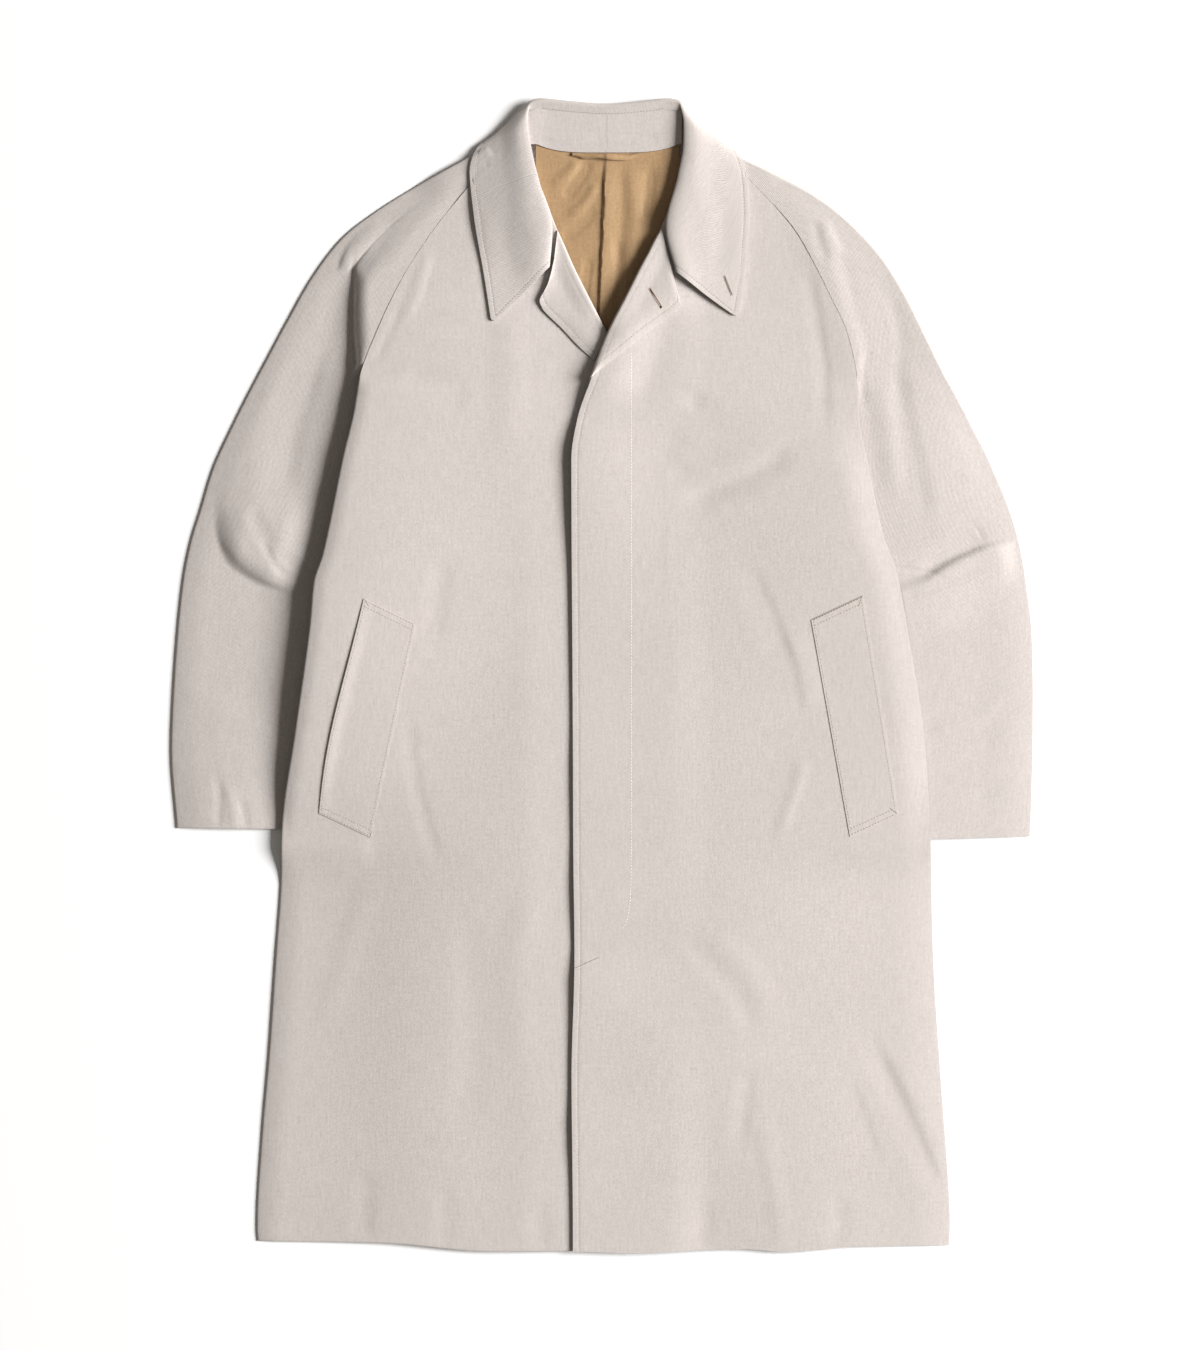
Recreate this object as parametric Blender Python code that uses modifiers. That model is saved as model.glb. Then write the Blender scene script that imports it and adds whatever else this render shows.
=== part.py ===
"""A single-breasted raglan coat in gabardine, laid on its back with its front up.

Frame: X to the wearer's left, Y from hem to collar, Z up from the surface it lies on.
Tables and sizes are in millimetres, and the meshes are written in metres.
Left and right are the wearer's.
"""
from collections import namedtuple

import bmesh
import bpy
import numpy as np
from mathutils import Vector
from mathutils.bvhtree import BVHTree

MM = 0.001

# Cloth and the way it is stacked
CLOTH = 1.5
LINING = 1.0
COLLAR = 2.0
GAP = 0.35
SEAM = 0.3
EDGE_PUFF = {1: 0.6, -1: 1.4}
SIDE_GAP = 0.4
SLEEVE_STACK = 2 * CLOTH + 3 * GAP
SOFT_CHANGE = 1.5
SHARP_CHANGE = 0.3
COLLAR_LIFT = COLLAR + 2 * GAP

# Levels along the coat
HEM_Y = -546.0
ARMPIT_Y = 283.0
NECK_Y = 493.0
CUFF_Y = -152.0
NECK_X = 5.0

# Edges of the body; a pair gives where a change begins and where it is complete
SIDE_ROUND = 20.0
SIDE_RUN = 150.0
SIDE_RISE_WIDTH = 26.0
BODY_PUFF_KEYS = (-546.0, -330.0, -170.0, -20.0, 240.0, 400.0, 493.0)
BODY_PUFF = (2.0, 4.0, 6.4, 9.8, 9.2, 6.2, 5.0)
SIDE_PUFF_KEYS = (-546.0, -215.0, -150.0, -70.0, 30.0, 220.0, 283.0, 330.0, 375.0, 415.0, 450.0, 493.0)
SIDE_PUFF = {
    1: (0.0, 0.8, 3.6, 6.6, 8.6, 8.6, 7.4, 6.2, 5.0, 3.8, 3.0, 2.8),
    -1: (0.0, 0.3, 4.5, 11.0, 13.5, 12.5, 10.5, 9.5, 8.0, 4.6, 3.0, 2.8),
}
SIDE_FREE_Y = (ARMPIT_Y, ARMPIT_Y - 16.0)
HEM_BLEND_Y = (HEM_Y, HEM_Y + 150.0)
BACK_INSET = 0.8
BACK_HEM_INSET = 3.0

# The back lies over the collar at the neck and over the sleeves at the sides
COLLAR_LIFT_Y = (425.0, 462.0)
COLLAR_LIFT_X = (190.0, 150.0)
SLEEVE_LIFT_FROM_UNDERARM = (-50.0, -18.0)
SLEEVE_LIFT_TOP_Y = (ARMPIT_Y, ARMPIT_Y - 21.0)
SLEEVE_LIFT_FOOT_Y = (CUFF_Y - 75.0, CUFF_Y - 8.0)

# The left front laps over the right one, and both turn back above the crossing
LAP_SINK_X = (-78.0, -34.0)
LAP_SINK = 1.0
LAP_SINK_PUFF = 4.0
RIGHT_LAP_TOP_Y = (400.0, 320.0)
LEFT_LAP_TOP_Y = (400.0, 345.0)
LEFT_LAP_END_X = (105.0, 62.0)
RIGHT_EDGE_X = 50.0
ROLL_WIDTH = 22.0
ROLL_RISE = 2.4
RIGHT_ROLL_Y = (322.0, 362.0)
LEFT_ROLL_Y = (318.0, 350.0)
ROLL_END_Y = (440.0, 408.0)
CROSSING_RISE = 4.2
CROSSING_FOOT_Y = (245.0, 285.0)
CROSSING_TOP_Y = (365.0, 325.0)
CROSSING_FROM_EDGE = (16.0, 60.0)
EDGE_RISE_KEYS = (-546.0, -300.0, -60.0, 90.0, 165.0, 215.0, 250.0, 300.0)
EDGE_RISE = (0.3, 0.4, 0.6, 1.4, 3.2, 3.8, 2.2, 0.0)
EDGE_RISE_WIDTH = 110.0

# Looseness of the sleeves
SLEEVE_PUFF_KEYS = (-152.0, 30.0, 130.0, 230.0, 300.0, 375.0, 415.0, 493.0)
SLEEVE_PUFF = {
    1: (2.2, 2.4, 3.0, 3.2, 3.4, 3.6, 3.4, 3.2),
    -1: (2.2, 2.4, 3.4, 3.4, 2.6, 2.6, 3.2, 3.2),
}
HIDDEN_PUFF_KEYS = (-152.0, 30.0, 150.0, 283.0)
HIDDEN_PUFF = {1: (1.6, 2.2, 2.6, 3.2), -1: (0.4, 0.4, 1.6, 2.0)}
SLEEVE_ROUND = 20.0
SLEEVE_RUN = {1: 110.0, -1: 70.0}
SLEEVE_FOLD_END = 24.0
SHOULDER_STEP = {1: (-8.0, 52.0), -1: (-1.5, 3.5)}
SLEEVE_SEAM_Y = (ARMPIT_Y - 10.0, ARMPIT_Y + 16.0)
SLEEVE_PUFF_RUN = (4.0, 46.0)
SLEEVE_FOLD_RUN = (0.0, 26.0)
SLEEVE_LEAST_PUFF = 0.15
CLEAR_OF_BODY = 6.0
SEAM_SLANT = 0.7

# Columns of a front, counted from its side edge, then evenly to its front edge
SIDE_BAND = (0.0, 3.0, 8.0, 16.0, 28.0, 44.0, 64.0)
FRONT_COLUMNS = 7
BACK_COLUMNS = 5
NARROW_SHARE = 0.72
BODY_ROWS = 18
RAGLAN_ROWS = 9
ARMPIT_ROWS = (-33.0, -21.0, -11.0)

FrontSection = namedtuple("FrontSection", "y inner outer")
LEFT_FRONT = [
    FrontSection(-546, -28.0, 330.0),
    FrontSection(-527, -28.0, 331.0),
    FrontSection(-464, -28.5, 328.0),
    FrontSection(-382, -29.3, 322.0),
    FrontSection(-268, -26.5, 315.0),
    FrontSection(-158, -27.7, 312.0),
    FrontSection(-62, -28.0, 306.0),
    FrontSection(30, -28.5, 292.0),
    FrontSection(100, -29.0, 279.0),
    FrontSection(132, -29.2, 267.0),
    FrontSection(205, -29.4, 251.5),
    FrontSection(242, -24.0, 244.0),
    FrontSection(283, -10.0, 241.6),
    FrontSection(325, 4.5, 232.5),
    FrontSection(360, 22.0, 216.5),
    FrontSection(401, 43.0, 196.0),
    FrontSection(426, 56.0, 181.0),
    FrontSection(469, 72.0, 142.0),
    FrontSection(493, 84.0, 117.0),
]
RIGHT_FRONT = [
    FrontSection(-546, 60.0, -328.0),
    FrontSection(-533, 60.0, -329.0),
    FrontSection(-437, 60.0, -324.0),
    FrontSection(-355, 60.0, -317.0),
    FrontSection(-274, 60.0, -311.5),
    FrontSection(-194, 60.0, -306.0),
    FrontSection(-143, 60.0, -304.5),
    FrontSection(-57, 60.0, -292.0),
    FrontSection(50, 60.0, -277.0),
    FrontSection(88, 60.0, -273.6),
    FrontSection(115, 60.0, -265.0),
    FrontSection(211, 59.0, -245.0),
    FrontSection(248, 47.0, -236.0),
    FrontSection(283, 27.0, -230.0),
    FrontSection(326, 4.5, -214.0),
    FrontSection(376, -22.0, -190.5),
    FrontSection(424, -43.0, -160.0),
    FrontSection(467, -60.0, -125.0),
    FrontSection(493, -80.0, -102.0),
]

HemPoint = namedtuple("HemPoint", "x y")
HEM = [
    HemPoint(-329, -538.0),
    HemPoint(-208, -540.0),
    HemPoint(-104, -548.0),
    HemPoint(-29, -547.5),
    HemPoint(28, -549.0),
    HemPoint(134, -545.5),
    HemPoint(175, -548.0),
    HemPoint(246, -543.0),
    HemPoint(331, -542.0),
]

# Across each raglan sleeve: the seam end and the outer silhouette, from the neck to the armpit
RaglanSection = namedtuple("RaglanSection", "seam_y outer_x outer_y")
LEFT_RAGLAN = [
    RaglanSection(493.0, 124.0, 496.0),
    RaglanSection(469.0, 154.0, 482.0),
    RaglanSection(434.0, 201.0, 458.0),
    RaglanSection(401.0, 232.0, 435.0),
    RaglanSection(360.0, 267.0, 398.0),
    RaglanSection(328.5, 289.0, 363.0),
    RaglanSection(308.0, 305.0, 331.0),
    RaglanSection(283.0, 320.0, 300.0),
]
RIGHT_RAGLAN = [
    RaglanSection(493.0, -110.0, 502.0),
    RaglanSection(463.5, -140.0, 486.0),
    RaglanSection(434.0, -180.0, 464.0),
    RaglanSection(405.0, -215.0, 442.0),
    RaglanSection(373.0, -246.0, 418.0),
    RaglanSection(343.0, -275.0, 381.0),
    RaglanSection(302.0, -303.0, 332.0),
    RaglanSection(283.0, -319.0, 302.0),
]

# Below the armpit: the underarm edge, which lies under the body, and the outer silhouette
SleeveSection = namedtuple("SleeveSection", "inner_x inner_y outer_x outer_y")
LEFT_SLEEVE = [
    SleeveSection(244.5, 270, 327.0, 286.0),
    SleeveSection(245.8, 257, 336.0, 270.0),
    SleeveSection(239.0, 236, 350.0, 243.0),
    SleeveSection(234.0, 196, 372.0, 195.0),
    SleeveSection(236.0, 160, 386.0, 161.0),
    SleeveSection(241.0, 125, 397.0, 124.0),
    SleeveSection(247.0, 90, 403.0, 89.0),
    SleeveSection(252.0, 35, 409.0, 35.0),
    SleeveSection(256.0, -25, 410.0, -25.5),
    SleeveSection(256.0, -98, 409.0, -98.0),
    SleeveSection(254.0, -157, 407.0, -153.0),
]
RIGHT_SLEEVE = [
    SleeveSection(-234.0, 270, -327.0, 287.0),
    SleeveSection(-235.8, 257, -338.0, 266.0),
    SleeveSection(-229.0, 236, -350.0, 242.0),
    SleeveSection(-224.0, 196, -371.0, 196.0),
    SleeveSection(-226.0, 160, -382.0, 160.0),
    SleeveSection(-232.0, 125, -392.5, 125.0),
    SleeveSection(-238.0, 92, -399.0, 92.0),
    SleeveSection(-244.0, 47, -404.0, 47.0),
    SleeveSection(-249.0, -25, -409.0, -25.0),
    SleeveSection(-250.0, -69, -410.5, -69.0),
    SleeveSection(-248.0, -147, -405.0, -145.0),
]
SLEEVE_HIDDEN_COLUMNS = 3
SLEEVE_COLUMNS = (0.16, 0.33, 0.5, 0.68, 0.84, 0.94, 1.0)
SLEEVE_FOLD_SHARE = (0.06, 0.6)
SHOULDER_FOLD_X = {1: 244.0, -1: -233.0}
# Rows along the lower sleeve, as places in its table: closer together at the elbow
SLEEVE_ROWS = (0, 1, 2, 3, 3.5, 4, 4.4, 4.8, 5.2, 5.6, 6, 6.5, 7, 8, 9, 10)

# The largest folds: a ridge where height is positive and a trough where it is negative
Fold = namedtuple("Fold", "side height half_width path")
FOLD_TAPER = 0.2
FOLD_END_SHARE = 0.35
SLEEVE_FOLDS = [
    Fold(-1, -1.8, 16.0, [(-240, 404), (-242, 350), (-244, 290)]),
    Fold(-1, 2.2, 26.0, [(-258, 320), (-266, 240), (-276, 150)]),
    Fold(-1, 3.4, 22.0, [(-384, 172), (-350, 133), (-318, 109), (-280, 92)]),
    Fold(-1, -3.4, 14.0, [(-381, 146), (-350, 104), (-318, 86), (-284, 72)]),
    Fold(1, 1.0, 20.0, [(257, 388), (246, 356), (243, 292)]),
    Fold(1, -0.9, 20.0, [(272, 384), (261, 352), (255, 296)]),
    Fold(1, 3.4, 16.0, [(282, 97), (318, 95), (348, 109), (388, 119)]),
    Fold(1, -2.6, 16.0, [(290, 112), (322, 114), (350, 128), (386, 140)]),
]

# Turned-back tops of the front edges, from the collar seam down to where the fronts cross
LapelSection = namedtuple("LapelSection", "roll_x roll_y edge_x edge_y")
LEFT_LAPEL = [
    LapelSection(57.0, 425.0, 66.5, 384.5),
    LapelSection(50.5, 414.0, 70.0, 368.0),
    LapelSection(44.5, 402.0, 74.5, 352.5),
    LapelSection(38.5, 391.0, 70.0, 346.5),
    LapelSection(22.5, 359.0, 45.0, 328.0),
    LapelSection(5.5, 325.0, 18.0, 306.0),
    LapelSection(-6.0, 296.0, -1.0, 291.0),
    LapelSection(-11.5, 281.0, -9.0, 284.0),
]
RIGHT_LAPEL = [
    LapelSection(-43.5, 423.0, -46.0, 391.0),
    LapelSection(-38.0, 411.0, -53.0, 368.0),
    LapelSection(-32.0, 397.0, -59.5, 356.0),
    LapelSection(-28.0, 388.0, -57.0, 348.5),
    LapelSection(-14.5, 361.0, -38.0, 329.0),
    LapelSection(-2.0, 337.0, -22.0, 312.0),
    LapelSection(4.0, 325.5, -7.5, 299.0),
]
LAPEL_CROWN = 1.2
LAPEL_RISE = {1: 1.0, -1: 4.5}
LAPEL_RISE_TO = {1: 7.0, -1: 4.5}
LAPEL_COLUMNS = 6
LAPEL_STEPS = 2

# The collar from the right leaf's end, round the back of the neck, to the left leaf's end.
# Wrap is 0 where the fall lies on the front and 1 where it is folded behind the neck.
CollarStation = namedtuple("CollarStation", "crest reach edge wrap")
COLLAR_STATIONS = [
    CollarStation((-50.0, 388.0, 13.0), (-77.5, 359.5, 12.4), (-105, 333, 9.2), 0.0),
    CollarStation((-47.5, 424.5, 14.4), (-79, 401, 13.0), (-112, 378, 9.2), 0.0),
    CollarStation((-59.5, 467.0, 14.4), (-91, 452, 12.0), (-122, 437, 8.4), 0.0),
    CollarStation((-66.0, 494.0, 14.4), (-97, 487, 10.8), (-126, 479, 7.0), 0.0),
    CollarStation((-70.5, 520.0, 12.8), (-97, 512, 8.4), (-118, 503, 4.5), 0.4),
    CollarStation((-71.0, 532.0, 11.6), (-95, 519, 5.2), (-113, 506, 2.1), 0.7),
    CollarStation((-69.0, 541.5, 10.2), (-85, 529, 3.0), (-106, 482, 2.0), 0.9),
    CollarStation((-57.0, 544.5, 10.0), (-63, 537, 2.2), (-70, 481, 2.0), 1.0),
    CollarStation((4.5, 539.5, 9.8), (4.5, 533, 2.2), (4.5, 480, 2.0), 1.0),
    CollarStation((60.0, 544.5, 10.2), (66, 537, 2.2), (76, 481, 2.0), 1.0),
    CollarStation((73.0, 543.0, 10.8), (89, 530, 3.0), (114, 482, 2.0), 0.9),
    CollarStation((76.0, 535.0, 12.0), (99, 519, 5.6), (117, 504, 2.1), 0.7),
    CollarStation((77.5, 524.0, 13.2), (104, 513, 8.8), (126, 499, 4.2), 0.4),
    CollarStation((77.0, 503.0, 14.2), (108, 495, 11.2), (136, 481, 7.2), 0.0),
    CollarStation((71.5, 473.0, 14.6), (106, 456, 12.4), (140, 441, 8.8), 0.0),
    CollarStation((60.5, 425.5, 15.4), (97, 399, 13.2), (135, 374, 9.4), 0.0),
    CollarStation((70.0, 383.0, 15.0), (98, 361, 13.0), (129, 339, 9.4), 0.0),
]
# Places of the five points across the collar, and how far the first and third lie from the crest
COLLAR_SHARES = (0.0, 0.12, 0.3, 0.6, 1.0)
COLLAR_TUCK = (4.0, 5.5)
COLLAR_INSIDE = (7.0, 1.5)
COLLAR_TURN_IN = (0.3, 0.8)
COLLAR_TURN_BACK = (0.5, 1.0)
COLLAR_CROWN = 0.6
COLLAR_CROWN_SHARE = 0.4
COLLAR_FOLD_OUT = 3.0
COLLAR_FOLD_SHARE = 0.42
COLLAR_ON_COAT = 0.45
COLLAR_BEHIND = 0.85
COLLAR_UNDER_ROLL = (0.22, 0.05)
NECK_CENTRE_Y = 470.0
NECK_FLATNESS = 0.35
COLLAR_STEPS = 2
COLLAR_COLUMNS = 10

# Inside of the neck
STAND_REACH = {1: 71.0, -1: 73.5}
STAND_CLEAR = 0.8
STAND_FOOT_Z = 5.6
STAND_HEAD_Z = 6.8
STAND_ROWS = 5
STAND_COLUMNS = 13
NECK_SEAM_X = 4.5
NECK_SEAM_Y = 496.7
NECK_CURVE = 8.0
NECK_SPAN = 67.0
LINING_FOOT_Y = 302.0
LINING_TUCK = 14.0
LINING_HALF = 68.0
LINING_ROWS = 12
LINING_COLUMNS = 17
PLEAT_TOP = (3.4, 490.0)
PLEAT_FOOT = (-2.8, 343.0)
PLEAT_HEIGHT = 0.7
PLEAT_WIDTH = 13.0
LOOP_FROM_X = -28.5
LOOP_TO_X = 34.0
LOOP_WIDTH = 6.5
LOOP_DROP = 3.9
LOOP_RISE = 2.6
LOOP_COLUMNS = 13
LOOP_ROWS = 3

# Pocket welts: four corners, from the upper inner one, clockwise in the wearer's left
Welt = namedtuple("Welt", "top_inner top_outer foot_outer foot_inner")
LEFT_WELT = Welt((198, 53), (247, 76), (281, -132), (235, -153))
RIGHT_WELT = Welt((-177, 49), (-226, 73), (-269, -131), (-220, -154))
WELT_ROWS = 17
WELT_COLUMNS = 6

SHELL_COLOUR = (0.66, 0.61, 0.56, 1.0)
LINING_COLOUR = (0.61, 0.40, 0.20, 1.0)
ROUGHNESS = 0.85


def smooth(low, high, value):
    """Goes from 0 at low to 1 at high with level ends; low may be the larger."""
    part = np.clip((np.asarray(value, float) - low) / (high - low), 0.0, 1.0)
    return part * part * (3.0 - 2.0 * part)


def arched(distance, width):
    """A gentle rise: 0 at an edge, 1 from width inwards, with an even change of slope."""
    part = np.clip(np.asarray(distance, float) / width, 0.0, 1.0)
    return 1.0 - (1.0 - part) ** 2


def higher(first, second, change):
    """The higher of two levels, with a soft change from one to the other."""
    return (first + second + np.sqrt((first - second) ** 2 + change ** 2)) / 2.0


def through(keys, values, at):
    """A smooth curve through the given rows that never overshoots them."""
    keys = np.asarray(keys, float)
    values = np.asarray(values, float)
    order = np.argsort(keys)
    keys, values = keys[order], values[order]
    steps = np.diff(keys)
    rises = np.diff(values) / steps
    slopes = np.zeros_like(values)
    same_way = rises[:-1] * rises[1:] > 0
    before, after = steps[1:] + 2 * steps[:-1], 2 * steps[1:] + steps[:-1]
    share = np.where(same_way, before * rises[1:] + after * rises[:-1], 1.0)
    slopes[1:-1] = np.where(same_way, (before + after) * rises[:-1] * rises[1:] / share, 0.0)
    slopes[0], slopes[-1] = rises[0], rises[-1]
    at = np.clip(np.asarray(at, float), keys[0], keys[-1])
    cell = np.clip(np.searchsorted(keys, at) - 1, 0, len(steps) - 1)
    t = (at - keys[cell]) / steps[cell]
    return (
        (1 + 2 * t) * (1 - t) ** 2 * values[cell]
        + t * (1 - t) ** 2 * steps[cell] * slopes[cell]
        + t * t * (3 - 2 * t) * values[cell + 1]
        + t * t * (t - 1) * steps[cell] * slopes[cell + 1]
    )


def column(table, name):
    return [getattr(row, name) for row in table]


def front_edge(side, name, y):
    table = LEFT_FRONT if side > 0 else RIGHT_FRONT
    return through(column(table, "y"), column(table, name), y)


def sleeve_underarm(side, y):
    table = LEFT_SLEEVE if side > 0 else RIGHT_SLEEVE
    return through(column(table, "inner_y"), column(table, "inner_x"), y)


def hem_shift(x, y):
    """How far a point near the hem follows the hem's uneven line."""
    line = through(column(HEM, "x"), column(HEM, "y"), x)
    return (line - HEM_Y) * (1.0 - smooth(*HEM_BLEND_Y, y))


def distance_to_path(x, y, path):
    """Distance to a bent line, and the share of its length at the nearest point."""
    path = np.asarray(path, float)
    lengths = np.hypot(*np.diff(path, axis=0).T)
    starts = np.concatenate([[0.0], np.cumsum(lengths)])
    nearest = np.full(np.shape(x), np.inf)
    share = np.zeros(np.shape(x))
    for (ax, ay), (bx, by), start, length in zip(path, path[1:], starts, lengths):
        t = np.clip(((x - ax) * (bx - ax) + (y - ay) * (by - ay)) / length ** 2, 0.0, 1.0)
        away = np.hypot(x - ax - t * (bx - ax), y - ay - t * (by - ay))
        closer = away < nearest
        nearest = np.where(closer, away, nearest)
        share = np.where(closer, (start + t * length) / starts[-1], share)
    return nearest, share


def fold_height(x, y, fold):
    away, share = distance_to_path(x, y, fold.path)
    across = 1.0 - smooth(0.0, fold.half_width, away)
    along = smooth(0.0, FOLD_TAPER, share) * smooth(1.0, 1.0 - FOLD_TAPER, share)
    return fold.height * across * (FOLD_END_SHARE + (1.0 - FOLD_END_SHARE) * along)


def collar_lift(x, y):
    """Height given by the back of the collar, which lies folded under the neck."""
    return COLLAR_LIFT * smooth(*COLLAR_LIFT_Y, y) * smooth(*COLLAR_LIFT_X, np.abs(x - NECK_X))


def back_under(x, y):
    """Underside of the back: on the surface, over the sleeves at the sides and over the collar."""
    total = np.zeros(np.shape(x))
    for side in (1, -1):
        past_underarm = side * (x - sleeve_underarm(side, y))
        to_edge = side * (front_edge(side, "outer", y) - x)
        on_sleeve = SLEEVE_STACK + through(HIDDEN_PUFF_KEYS, HIDDEN_PUFF[side], y)
        lift = on_sleeve * smooth(*SLEEVE_LIFT_FROM_UNDERARM, past_underarm)
        at_edge = through(SIDE_PUFF_KEYS, SIDE_PUFF[side], y) - SIDE_GAP
        total = total + lift + np.maximum(at_edge - lift, 0.0) * smooth(SIDE_RISE_WIDTH, 0.0, to_edge)
    length = smooth(*SLEEVE_LIFT_TOP_Y, y) * smooth(*SLEEVE_LIFT_FOOT_Y, y)
    return total * length + collar_lift(x, y)


def body_puff(side, x, y):
    """Height of a front's looseness, closing at the side edge and at the hem."""
    to_edge = side * (front_edge(side, "outer", y) - x)
    at_edge = through(SIDE_PUFF_KEYS, SIDE_PUFF[side], y)
    free = EDGE_PUFF[side] * smooth(*SIDE_FREE_Y, y)
    full = through(BODY_PUFF_KEYS, BODY_PUFF, y)
    puff = at_edge + free * arched(to_edge, SIDE_ROUND)
    return puff + (full - at_edge - free) * smooth(0.0, SIDE_RUN, to_edge)


def on_back(x, y, puff):
    """Underside of a front that stands loosely over the back, and rests on it where the back is high."""
    return CLOTH + GAP + higher(back_under(x, y) + SIDE_GAP, puff, SOFT_CHANGE)


def roll_rise(side, x, y):
    """The front edge lifting towards the line where its top turns back."""
    inner = front_edge(side, "inner", y)
    start = LEFT_ROLL_Y if side > 0 else RIGHT_ROLL_Y
    near = 1.0 - smooth(0.0, ROLL_WIDTH, side * (x - inner))
    return ROLL_RISE * near * smooth(*start, y) * smooth(*ROLL_END_Y, y)


def front_right_under(x, y):
    """Underside of the right front, which sinks where the left one laps over it."""
    puff = body_puff(-1, x, y)
    lapped = smooth(*LAP_SINK_X, x) * smooth(*RIGHT_LAP_TOP_Y, y)
    puff = puff - LAP_SINK * lapped * np.minimum(1.0, puff / LAP_SINK_PUFF)
    return on_back(x, y, puff) + roll_rise(-1, x, y)


def front_left_under(x, y):
    """Underside of the left front, which lies on the right one and rises over its lapel."""
    level = on_back(x, y, body_puff(1, x, y))
    lap = front_right_under(np.minimum(x, RIGHT_EDGE_X), y) + CLOTH + GAP
    lapped = smooth(*LEFT_LAP_END_X, x) * smooth(*LEFT_LAP_TOP_Y, y)
    level = level + np.maximum(lap - level, 0.0) * lapped
    from_edge = x - front_edge(1, "inner", y)
    crossing = smooth(*CROSSING_FOOT_Y, y) * smooth(*CROSSING_TOP_Y, y)
    bump = CROSSING_RISE * crossing * (1.0 - smooth(*CROSSING_FROM_EDGE, from_edge))
    lip = through(EDGE_RISE_KEYS, EDGE_RISE, y) * (1.0 - smooth(0.0, EDGE_RISE_WIDTH, from_edge))
    return level + bump + lip + roll_rise(1, x, y)


def body_rows():
    """Levels of the cross rows shared by the fronts and the back."""
    below = np.linspace(HEM_Y, ARMPIT_Y + ARMPIT_ROWS[0], BODY_ROWS)
    armpit = ARMPIT_Y + np.array(ARMPIT_ROWS[1:])
    return np.concatenate([below, armpit, raglan_rows()])


def raglan_rows():
    """Levels along the raglan seams, shared by the fronts, the back and the sleeves."""
    return np.linspace(ARMPIT_Y, NECK_Y, RAGLAN_ROWS)


def band_scale(side, y):
    """Narrows the outer columns where the panel itself is narrow."""
    width = np.abs(front_edge(side, "outer", y) - front_edge(side, "inner", y))
    return np.minimum(1.0, NARROW_SHARE * width / SIDE_BAND[-1])


def front_columns(side, y):
    """X of every column at the given levels, ascending."""
    outer = front_edge(side, "outer", y)
    inner = front_edge(side, "inner", y)
    band = [outer - side * d * band_scale(side, y) for d in SIDE_BAND]
    rest = [band[-1] + (inner - band[-1]) * k / FRONT_COLUMNS for k in range(1, FRONT_COLUMNS + 1)]
    columns = np.stack(band + rest, axis=1)
    return columns if side < 0 else columns[:, ::-1]


def back_columns(y):
    """The same side columns as both fronts, with even columns between them."""
    right = front_columns(-1, y)[:, : len(SIDE_BAND)]
    left = front_columns(1, y)[:, -len(SIDE_BAND):]
    share = np.arange(1, BACK_COLUMNS) / BACK_COLUMNS
    middle = right[:, -1:] + (left[:, :1] - right[:, -1:]) * share
    return np.concatenate([right, middle, left], axis=1)


def sleeve_grid(side):
    """Points across and along a sleeve, from its neck end to its cuff."""
    raglan = LEFT_RAGLAN if side > 0 else RIGHT_RAGLAN
    lower = LEFT_SLEEVE if side > 0 else RIGHT_SLEEVE
    seam_y = raglan_rows()[::-1]
    seam_x = front_edge(side, "outer", seam_y) + side * SEAM / SEAM_SLANT
    seam_keys = column(raglan, "seam_y")
    top_x = through(seam_keys, column(raglan, "outer_x"), seam_y)
    top_y = through(seam_keys, column(raglan, "outer_y"), seam_y)
    station = range(len(lower))
    low = [through(station, column(lower, name), SLEEVE_ROWS) for name in SleeveSection._fields]
    inner = np.stack([np.concatenate([seam_x, low[0]]), np.concatenate([seam_y, low[1]])], axis=1)
    outer = np.stack([np.concatenate([top_x, low[2]]), np.concatenate([top_y, low[3]])], axis=1)
    body = front_edge(side, "outer", inner[:, 1]) + side * CLEAR_OF_BODY
    fold_x = np.where(inner[:, 1] > ARMPIT_Y - 1.0, SHOULDER_FOLD_X[side], body)
    share = np.clip((fold_x - inner[:, 0]) / (outer[:, 0] - inner[:, 0]), *SLEEVE_FOLD_SHARE)
    hidden = np.outer(share, np.arange(SLEEVE_HIDDEN_COLUMNS + 1) / SLEEVE_HIDDEN_COLUMNS)
    shown = share[:, None] + np.outer(1.0 - share, SLEEVE_COLUMNS)
    across = np.concatenate([hidden, shown], axis=1)
    points = inner[:, None, :] + across[:, :, None] * (outer - inner)[:, None, :]
    width = np.hypot(*(outer - inner).T)
    to_outer = (1.0 - across) * width[:, None]
    past_fold = (across - share[:, None]) * width[:, None]
    return points[..., 0], points[..., 1], to_outer, past_fold


def sleeve_puff(side, x, y, to_outer, past_fold):
    """Looseness of a sleeve's front half: level with the seam, flat under the body, round outside."""
    raglan = smooth(*SLEEVE_SEAM_Y, y)
    hidden = through(HIDDEN_PUFF_KEYS, HIDDEN_PUFF[side], y)
    at_inner = hidden + (through(SIDE_PUFF_KEYS, SIDE_PUFF[side], y) - hidden) * raglan
    full = through(SLEEVE_PUFF_KEYS, SLEEVE_PUFF[side], y)
    step = raglan * smooth(*SHOULDER_STEP[side], past_fold)
    step = step + (1.0 - raglan) * smooth(*SLEEVE_PUFF_RUN, past_fold)
    puff = at_inner + (full - at_inner) * step
    folds = sum(fold_height(x, y, fold) for fold in SLEEVE_FOLDS if fold.side == side)
    clear = raglan + (1.0 - raglan) * smooth(*SLEEVE_FOLD_RUN, past_fold)
    folds = folds * clear * smooth(0.0, SLEEVE_FOLD_END, to_outer)
    edge = EDGE_PUFF[side] * arched(to_outer, SLEEVE_ROUND)
    shape = edge + (puff - EDGE_PUFF[side]) * smooth(0.0, SLEEVE_RUN[side], to_outer) + folds
    return higher(collar_lift(x, y) + SLEEVE_LEAST_PUFF, shape, SHARP_CHANGE)


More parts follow.
